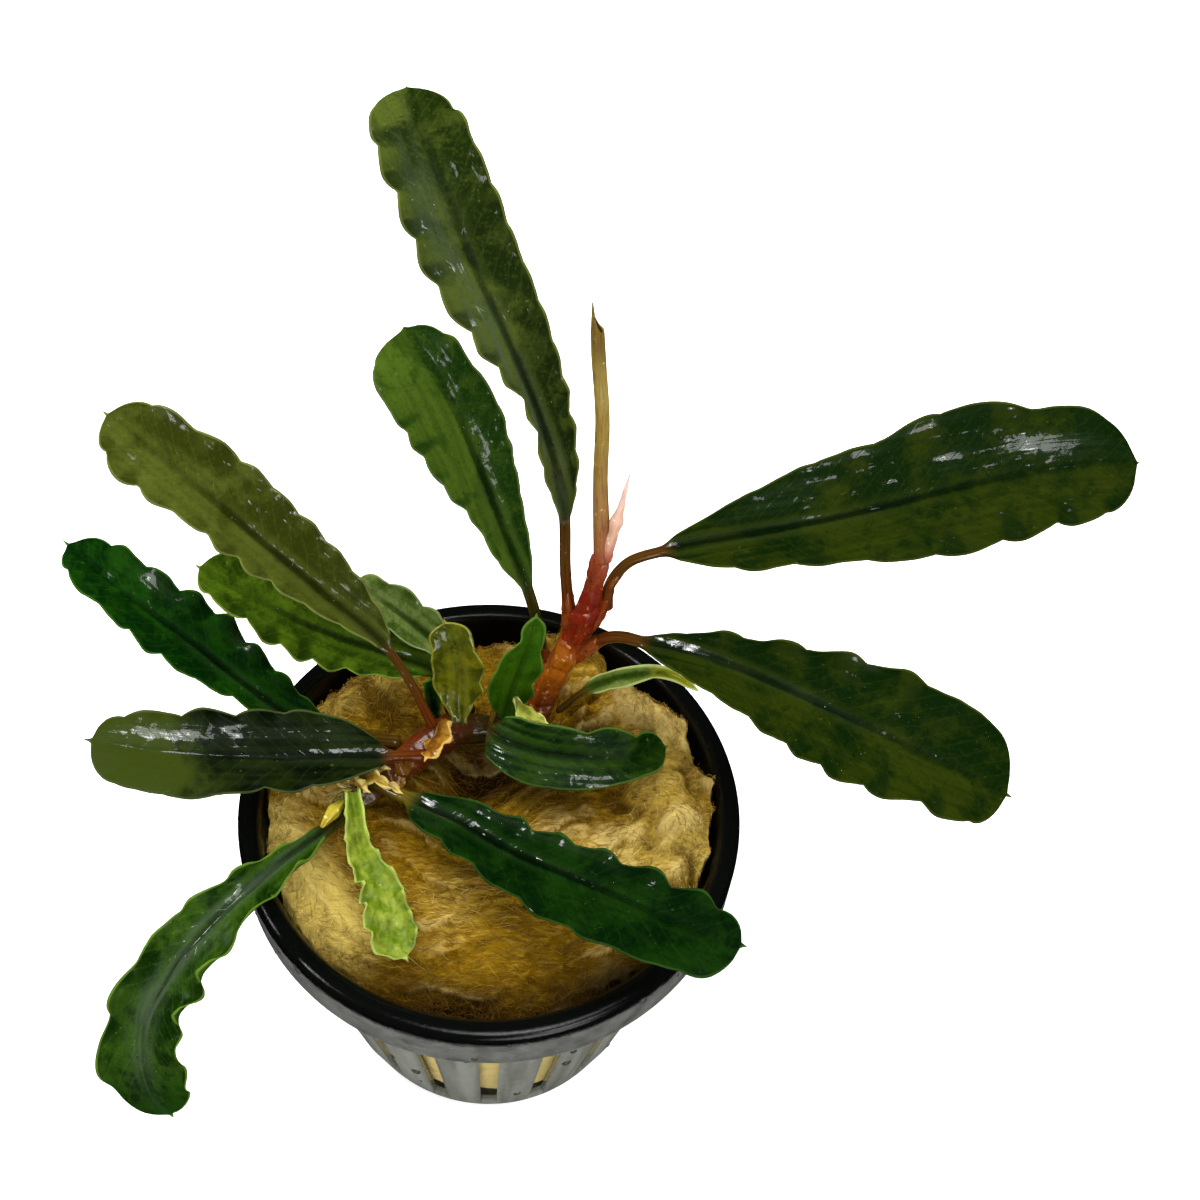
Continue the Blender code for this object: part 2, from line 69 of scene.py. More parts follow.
# Leaves
SAMPLES_PER_LEG = 16
STATION_STEP = 0.29
HALF_COLUMNS = 20
ROOT_DEPTH = 0.9              # a stalk starts this far inside the rhizome
BLADE_HALF_THICKNESS = 0.2
VEIN_SPACING = 2.1
VEIN_SLANT = 1.25             # how far a side vein runs forwards for each millimetre outwards
RIDGE_SPACING = 0.95

# Numbers of fibres and droplets
FINE_FIBRES = 4850            # in each of two pieces
EDGE_FIBRES = 3200
LONG_FIBRES = 90
SKIRT_DROPLETS = 46
RIB_DROPLETS = 22

# Camera: its place in millimetres and its directions, which have no part along X
CAMERA_AT = (0.0, -81.35, 180.23)
CAMERA_FORWARD = (0.0, 0.6293, -0.7771)
CAMERA_UP = (0.0, 0.7771, 0.6293)

# Name, place and size in metres, watts, and whether only reflections show it
LIGHTS = (
    ("key_light", (-0.30, 0.34, 0.62), 0.42, 6.0, False),
    ("top_light", (0.05, -0.05, 0.90), 0.60, 6.0, False),
    ("side_light", (0.65, 0.10, 0.45), 0.35, 2.5, False),
    ("fill_light", (-0.20, -0.70, 0.45), 0.50, 3.6, False),
    ("overhead_sheen", (0.09, -0.30, 0.90), 0.50, 2.5, True),
    ("overhead_glint", (0.09, -0.28, 0.90), 0.08, 0.35, True),
    ("left_sheen", (-0.66, -0.13, 0.55), 0.30, 2.4, True),
    ("left_glint", (-0.64, -0.16, 0.57), 0.08, 0.6, True),
    ("front_sheen", (0.27, -0.84, 0.17), 0.50, 2.4, True),
    ("high_front_sheen", (0.36, -0.68, 0.55), 0.25, 1.2, True),
)
LIT_POINT = (0.0, 0.0, 0.055)


def srgb(red, green, blue):
    """A linear colour from its 0 to 255 screen values."""
    return tuple((v / 255 / 12.92) if v <= 10 else ((v / 255 + 0.055) / 1.055) ** 2.4
                 for v in (red, green, blue)) + (1.0,)


def tint(colour):
    """Three screen values as a linear colour; a wire or a colour with four values stays."""
    return srgb(*colour) if isinstance(colour, tuple) and len(colour) == 3 else colour


def shade(colour, share):
    """A screen colour darkened to a share of its light."""
    return tuple(share * v for v in srgb(*colour)[:3]) + (1.0,)


# ---- noise and paths

def hashed(cells, seed):
    """A fixed random number from -1 to 1 for each row of whole numbers."""
    n = (cells[..., 0] * 374761393 + cells[..., 1] * 668265263 + cells[..., 2] * 1442695041
         + seed * 974634777) & 0xFFFFFFFF
    n = ((n ^ (n >> 13)) * 1274126177) & 0xFFFFFFFF
    n = ((n ^ (n >> 15)) * 1103515245) & 0xFFFFFFFF
    return (n ^ (n >> 16)) / 2147483647.5 - 1


def noise(points, size, seed=0):
    """Smooth noise from -1 to 1 whose lumps are about size wide."""
    p = np.asarray(points, float) / size
    cell = np.floor(p).astype(np.int64)
    f = p - cell
    f = f * f * (3 - 2 * f)
    total = 0.0
    for corner in np.ndindex(2, 2, 2):
        near = np.array(corner)
        weight = np.prod(np.where(near == 1, f, 1 - f), axis=-1)
        total = total + weight * hashed(cell + near, seed)
    return total


def level(x, y):
    """Points in one plane from their x and y."""
    return np.stack([x, y, 0 * x], axis=-1)


def line_noise(values, seed):
    """Smooth noise along a line of numbers."""
    return noise(level(values, 0 * values), 1.0, seed)


def step_between(low, high, values):
    x = np.clip((values - low) / (high - low), 0, 1)
    return x * x * (3 - 2 * x)


def unit(vectors):
    return vectors / np.linalg.norm(vectors, axis=-1, keepdims=True)


def smooth_path(points):
    """Closely spaced samples of a smooth curve through the points."""
    p = np.array(points, float)
    lengths = np.linalg.norm(np.diff(p, axis=0), axis=1)
    slopes = np.diff(p, axis=0) / lengths[:, None]
    tangents = np.empty_like(p)
    tangents[0] = slopes[0]
    tangents[-1] = slopes[-1]
    for i in range(1, len(p) - 1):
        before, after = lengths[i - 1], lengths[i]
        tangents[i] = (slopes[i - 1] * after + slopes[i] * before) / (before + after)
    samples = []
    for i, length in enumerate(lengths):
        u = np.linspace(0, 1, SAMPLES_PER_LEG, endpoint=False)[:, None]
        start = (1 + 2 * u) * (1 - u) ** 2
        leave = u * (1 - u) ** 2 * length
        end = u ** 2 * (3 - 2 * u)
        arrive = u ** 2 * (u - 1) * length
        samples.append(start * p[i] + leave * tangents[i] + end * p[i + 1]
                       + arrive * tangents[i + 1])
    return np.vstack([*samples, p[-1:]])


def distances_along(path):
    steps = np.linalg.norm(np.diff(path, axis=0), axis=1)
    return np.concatenate([[0.0], np.cumsum(steps)])


def read_path(path, distances, at):
    """The path's points at the given distances along it."""
    return np.stack([np.interp(at, distances, path[:, axis]) for axis in range(3)], axis=1)


# ---- meshes

class Shape(NamedTuple):
    """Points in millimetres, faces, and a value per point for each mask."""
    points: np.ndarray
    quads: np.ndarray
    triangles: np.ndarray
    masks: dict


def bands(index):
    """Faces between neighbouring rings of point numbers (..., rings, around)."""
    a, b = index[..., :-1, :], index[..., 1:, :]
    return np.stack([a, b, np.roll(b, -1, -1), np.roll(a, -1, -1)], axis=-1).reshape(-1, 4)


def loft(rings, masks=None, start=None, end=None):
    """A closed body through rings (stations, around, 3), with a fan over each end."""
    stations, around = rings.shape[:2]
    index = np.arange(stations * around).reshape(stations, around)
    start = rings[0].mean(axis=0) if start is None else start
    end = rings[-1].mean(axis=0) if end is None else end
    first, last = index[0], index[-1]
    foot = np.full(around, stations * around)
    fans = [np.stack([foot, first, np.roll(first, -1)], axis=1),
            np.stack([foot + 1, np.roll(last, -1), last], axis=1)]
    spread = {}
    for name, values in (masks or {}).items():
        values = np.broadcast_to(values, (stations, around))
        spread[name] = np.concatenate([values.ravel(), [values[0].mean(), values[-1].mean()]])
    return outward(Shape(np.vstack([rings.reshape(-1, 3), [start], [end]]), bands(index),
                         np.vstack(fans), spread))


def outward(shape):
    """The shape with its faces turned so that it holds a positive volume."""
    p, q, t = shape.points, shape.quads, shape.triangles
    corners = np.vstack([q[:, [0, 1, 2]], q[:, [0, 2, 3]], t]) if len(q) else t
    a, b, c = (p[corners[:, i]] for i in range(3))
    if (a * np.cross(b, c)).sum() < 0:
        return Shape(p, q[:, ::-1], t[:, ::-1], shape.masks)
    return shape


def joined(shapes):
    """Several shapes, which have the same masks, as one."""
    points, quads, triangles, count = [], [], [], 0
    for shape in shapes:
        points.append(shape.points)
        quads.append(shape.quads + count)
        triangles.append(shape.triangles + count)
        count += len(shape.points)
    return Shape(np.vstack(points), np.vstack(quads), np.vstack(triangles),
                 {name: np.concatenate([shape.masks[name] for shape in shapes])
                  for name in sorted(shapes[0].masks)})


def set_mask(mesh, name, values):
    kept = mesh.attributes.new(name, "FLOAT", "POINT")
    kept.data.foreach_set("value", values.astype(np.float32))


def make_mesh(name, shape):
    mesh = bpy.data.meshes.new(name)
    mesh.vertices.add(len(shape.points))
    mesh.vertices.foreach_set("co", (shape.points * MM).ravel())
    corners = np.concatenate([shape.quads.ravel(), shape.triangles.ravel()]).astype(int)
    sizes = np.array([4] * len(shape.quads) + [3] * len(shape.triangles))
    mesh.loops.add(len(corners))
    mesh.loops.foreach_set("vertex_index", corners)
    mesh.polygons.add(len(sizes))
    mesh.polygons.foreach_set("loop_start", np.cumsum(sizes) - sizes)
    mesh.update(calc_edges=True)
    for mask, values in shape.masks.items():
        set_mask(mesh, mask, values)
    mesh.shade_smooth()
    return mesh


def place(name, body, material, slot, *nodes):
    """A piece of the plant or its pot from a shape or a mesh, in place of the named solids."""
    mesh = make_mesh(name, body) if isinstance(body, Shape) else body
    mesh.materials.clear()
    mesh.materials.append(material)
    piece = bpy.data.objects.new(name, mesh)
    bpy.context.scene.collection.objects.link(piece)
    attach(piece, "root")
    if nodes:
        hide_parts(*nodes)


# ---- materials

class Wire:
    """An output of a node; sums, products and calls on it add further nodes."""

    def __init__(self, paint, socket):
        self.paint, self.socket = paint, socket

    def math(self, operation, other=0.0):
        return self.paint.add("Math", {0: self, 1: other}, operation=operation)

    def __add__(self, other):
        return self.math("ADD", other)

    def __sub__(self, other):
        return self.math("SUBTRACT", other)

    def __mul__(self, other):
        return self.math("MULTIPLY", other)

    def ease(self, low, high, to_low=0.0, to_high=1.0):
        """The value's place between low and high, eased, as a number from to_low to to_high."""
        return self.paint.add("MapRange", {0: self, 1: low, 2: high, 3: to_low, 4: to_high},
                              interpolation_type="SMOOTHSTEP")

    def mix(self, a, b):
        """Colour a where the value is 0, and b where it is 1."""
        return self.paint.add("Mix", {0: self, 6: tint(a), 7: tint(b)}, 2, data_type="RGBA")


class Paint:
    """A material and short calls that add nodes to it."""

    def __init__(self, name):
        self.material = bpy.data.materials.new(name)
        self.material.use_nodes = True
        self.tree = self.material.node_tree
        self.shader = self.tree.nodes["Principled BSDF"]
        self.place = self.add("TexCoord", {}, "Object")

    def feed(self, socket, value):
        if isinstance(value, Wire):
            self.tree.links.new(value.socket, socket)
        else:
            socket.default_value = value

    def add(self, kind, inputs, output=0, **settings):
        node = self.tree.nodes.new("ShaderNode" + kind)
        for name, value in settings.items():
            setattr(node, name, value)
        for key, value in inputs.items():
            self.feed(node.inputs[key], value)
        return Wire(self, node.outputs[output])

    def mask(self, name):
        return self.add("Attribute", {}, "Fac", attribute_name=name)

    def axis(self, number):
        """A coordinate in metres."""
        return self.add("SeparateXYZ", {0: self.place}, number)

    def vector(self, x, y=0.0, z=0.0):
        return self.add("CombineXYZ", {0: x, 1: y, 2: z})

    def noise(self, size, detail=3.0, roughness=0.55, vector=None, distortion=0.0):
        """Noise with lumps about size millimetres wide, or size units of the vector."""
        scale = 1 / (size * MM) if vector is None else 1 / size
        return self.add("TexNoise", {"Vector": vector or self.place, "Scale": scale,
            "Detail": detail, "Roughness": roughness, "Distortion": distortion}, "Fac")

    def bumps(self, *layers):
        """A normal bent by layers of a height, its distance in millimetres and its strength."""
        normal = {}
        for height, distance, strength in layers:
            normal = {"Normal": self.add("Bump", {"Height": height, "Distance": distance * MM,
                                                  "Strength": strength, **normal})}
        return normal["Normal"]

    def finish(self, colour, roughness, **values):
        """The material, with further inputs of its shader by their names."""
        values.update(Base_Color=colour, Roughness=roughness)
        for name, value in values.items():
            self.feed(self.shader.inputs[name.replace("_", " ")], value)
        return self.material


def washed(colour, *layers):
    """The colour under washes: a value, where it begins and ends, its most, and the tint."""
    for value, low, high, most, other in layers:
        colour = value.ease(low, high, 0.0, most).mix(colour, other)
    return colour


# Grey-green of a painted sheen, which the shining places of a leaf turn towards
SHEEN_GREY = (65, 78, 58)


class LeafLook(NamedTuple):
    """Colours and finish of one leaf."""
    dark: tuple
    light: tuple
    rim: tuple
    stalk: tuple
    foot: tuple               # colour of the stalk's lower end
    rough: tuple = (0.35, 0.55)
    veins: float = 0.05
    mottle: float = 4.0       # width of the light patches
    wet: tuple = (0.66, 0.72)  # noise levels between which the film of water begins
    tip: tuple = None
    tip_from: float = 0.9
    gloss: float = 0.02
    sides: tuple = (0.0, 0.0)  # how much lighter the left and the right half are, partly as painted sheen
    midrib: float = 1.0       # darkness of the midrib
    rim_width: float = 0.30
    painted_sheen: float = 0.15      # how much painted sheen greys the shining places


def leaf_material(name, look):
    paint = Paint(name)
    run, off, rim, stalk, along, sheen, fold = (
        paint.mask(mask) for mask in ("run", "off", "rim", "stalk", "along", "sheen", "fold"))
    aside = off.math("ABSOLUTE")
    # one half lighter than the other: partly the leaf's tone, partly painted sheen
    halves = off.ease(-1.2, 1.2, *look.sides)
    patches = paint.noise(look.mottle, 6.0, 0.6, distortion=0.3) + halves
    washes = paint.noise(0.4 * look.mottle, 5.0, 0.65, distortion=0.5)
    grain = paint.noise(0.35, 3.0, 0.7)
    streaks = paint.noise(1.0, 2.0, 0.5, paint.vector(run * 0.11, off * 1.5))
    # painted light and shade: the ruffles' crests are lighter, their hollows and the gaps between
    # the ridges near the base darker
    colour = washed(patches.ease(0.42, 0.60).mix(look.dark, look.light),
        (washes, 0.50, 0.62, 0.35, look.light), (washes, 0.48, 0.38, 0.45, look.dark),
        (grain, 0.50, 0.66, 0.30, look.light), (grain, 0.48, 0.34, 0.40, look.dark),
        (fold, 0.1, 0.8, 0.45, look.light), (fold, -0.1, -0.8, 0.75, look.dark),
        (streaks, 0.38, 0.66, 0.35, look.dark))

    # side veins leave the midrib forwards
    slanted = run - aside * VEIN_SLANT + paint.noise(3.0, 1.0) * 1.6
    veins = (slanted * (2 * math.pi / VEIN_SPACING)).math("SINE").ease(0.82, 1.0)
    colour = (veins * look.veins).mix(colour, look.rim)

    # the midrib's groove is darkened as painted shade, with a band of painted sheen on each side
    groove = aside.ease(0.12, 0.50, 1.0, 0.0) * along.ease(0.45, 0.95, 0.8 * look.midrib,
                                                           0.1 * look.midrib)
    colour = groove.mix(colour, shade(look.dark, 0.35))
    beside = aside.ease(0.35, 0.65) * aside.ease(1.5, 0.8) * along.ease(0.2, 0.8, 0.45, 0.1)
    colour = beside.mix(colour, look.light)
    if look.tip:
        ragged = along + (patches - 0.5) * 0.7
        colour = washed(colour, (ragged, look.tip_from, min(1.0, look.tip_from + 0.2), 0.85,
                                 look.tip))
    colour = washed(colour, (paint.noise(0.55, 1.0), 0.74, 0.78, 0.35, look.rim))
    # painted sheen: the shining places are greyed towards the colour of a reflection
    sheen_paint = sheen * streaks.ease(0.40, 0.60, 0.25 * look.painted_sheen, look.painted_sheen)
    colour = sheen_paint.mix(colour, SHEEN_GREY)
    colour = rim.ease(0.4 * look.rim_width, look.rim_width, 0.7, 0.0).mix(colour, look.rim)
    fibres = paint.noise(1.0, 3.0, 0.6, paint.vector(run * 0.12, off * 4.0))
    stalk_colour = washed(run.ease(0.5, 7.0).mix(look.foot, look.stalk),
                          (fibres, 0.40, 0.62, 0.65, shade(look.stalk, 0.3)))
    colour = stalk.mix(colour, stalk_colour)

    film = paint.noise(1.6, 5.0, 0.7, distortion=0.6) + (streaks - 0.5) * 0.7 + sheen * 0.32
    wet = film.ease(*look.wet)
    normal = paint.bumps((veins, 0.02, 0.4), (streaks, 0.12, 0.5),
                         (paint.noise(0.45, 2.0, 0.6), 0.03, 0.4))
    return paint.finish(colour, wet.ease(0.0, 1.0, look.rough[1], look.rough[0]), Normal=normal,
        Coat_Weight=wet, Coat_Roughness=0.10, Coat_Normal=normal, Specular_IOR_Level=look.gloss)


# ---- leaves

class Sheen(NamedTuple):
    """A place where a leaf shines: along it, across it, and its half sizes."""
    along: float
    across: float
    length: float
    width: float
    strength: float = 1.0


class Leaf(NamedTuple):
    """One leaf with its stalk; its half widths are at every sixth of the blade."""
    name: str
    spine: tuple
    blade: int                # number of the spine's point where the blade begins
    facing: tuple             # where its right side points, evenly spread from foot to tip
    left: tuple
    right: tuple
    slot: str
    look: LeafLook
    tip_power: float = 2.6    # bluntness of the tip
    cup: float = 0.8          # how far the margins lie above the midrib
    waves: tuple = (8, 9)     # number of ruffles along the left and right margins
    ruffle: float = 0.6
    petiole: float = 0.6      # radius of the stalk
    crumple: float = 0.0
    spur: float = 0.6         # length of the pointed tip
    scallop: tuple = (0.3, 0.3)  # depth of the left and right margins' lobes
    curl: tuple = (0.0, 0.0)  # how far loops of the left and right margins rise and roll in
    ridge: tuple = (0.1, 0.22)  # height of the lengthwise ridges, and how far they run
    roll_from: float = 0.7    # share of the half width where the margins begin to roll up
    sheen: tuple = ()


BROWN = (70, 44, 10)
RUST = (88, 38, 8)
OLIVE_STALK = (52, 46, 10)
STRAW = (84, 74, 18)
# Painted shade: nearly black, for stalks that lie deep in the plant's shadow
DARK_STALK = (24, 18, 4)

OLIVE_LEAF = LeafLook((16, 28, 2), (60, 70, 20), (92, 100, 46), BROWN, RUST, mottle=8.0,
    sides=(0.08, -0.10), painted_sheen=0.5)
DEEP_LEAF = LeafLook((14, 38, 2), (56, 75, 16), (80, 98, 44), OLIVE_STALK, BROWN, mottle=7.0,
    sides=(0.11, -0.15))
MOTTLED_LEAF = LeafLook((4, 20, 1), (30, 38, 2), (56, 66, 16), BROWN, RUST, mottle=6.0,
    sides=(-0.09, 0.07))
BROWN_LEAF = LeafLook((36, 42, 2), (64, 72, 20), (104, 110, 56), BROWN, RUST, mottle=7.0,
    sides=(0.08, -0.08))
# its stalk and foot take the brown of the shaded wool as painted shade
EMERALD_LEAF = LeafLook((1, 24, 1), (16, 52, 3), (56, 88, 24), (40, 30, 6), (66, 46, 12))
FRONT_LEAF = LeafLook((1, 15, 1), (11, 35, 2), (40, 66, 22), STRAW, (80, 60, 14), mottle=5.0)
FRESH_LEAF = LeafLook((26, 44, 2), (63, 86, 10), (112, 130, 50), DARK_STALK, DARK_STALK)
GREEN_LEAF = LeafLook((30, 62, 2), (48, 80, 6), (80, 110, 40), DARK_STALK, DARK_STALK, midrib=0.5)
HAZY_LEAF = LeafLook((36, 54, 4), (88, 102, 50), (120, 132, 84), DARK_STALK, DARK_STALK)
AMBER_LEAF = LeafLook((42, 48, 2), (92, 94, 8), (120, 118, 36), OLIVE_STALK, DARK_STALK,
    rough=(0.1, 0.3), wet=(0.48, 0.60), gloss=0.12, midrib=0.2)
WET_LEAF = LeafLook((3, 8, 2), (18, 27, 4), (66, 76, 36), BROWN, RUST, mottle=6.0,
    rough=(0.15, 0.36), tip=(42, 52, 8), tip_from=0.6, gloss=0.04)
# its stalk and foot take the brown of the shaded wool as painted shade
CURLED_LEAF = LeafLook((1, 20, 1), (28, 48, 4), (66, 92, 34), (60, 44, 12), (60, 44, 12),
    rough=(0.15, 0.34), gloss=0.04)
DROOPING_LEAF = LeafLook((6, 26, 1), (38, 62, 8), (84, 112, 34), OLIVE_STALK, OLIVE_STALK,
    rough=(0.15, 0.3), tip=(14, 44, 2), tip_from=0.84, painted_sheen=0.6, gloss=0.04)
BRIGHT_LEAF = LeafLook((70, 92, 2), (118, 130, 40), (150, 164, 78), (108, 124, 34), (108, 124, 34),
    mottle=1.8, rough=(0.2, 0.4), midrib=0.1, gloss=0.2, rim_width=0.4)
PALE_LEAF = LeafLook((50, 76, 10), (110, 126, 56), (170, 178, 112), (90, 64, 20), (66, 46, 12),
    mottle=3.0, tip=(126, 126, 18), tip_from=0.55)
YELLOW_SHRED = LeafLook((104, 110, 28), (150, 154, 70), (186, 188, 116), BROWN, BROWN, mottle=1.2,
    veins=0.0)
STRAW_SHRED = LeafLook((92, 66, 10), (140, 114, 34), (186, 166, 92), BROWN, BROWN, mottle=1.0,
    veins=0.0, midrib=0.0, gloss=0.3, rough=(0.15, 0.35))
SCRAP = LeafLook((96, 54, 5), (140, 102, 30), (196, 160, 84), (96, 44, 10), (96, 44, 10),
    mottle=1.2, veins=0.0, rough=(0.1, 0.25), wet=(0.55, 0.65))

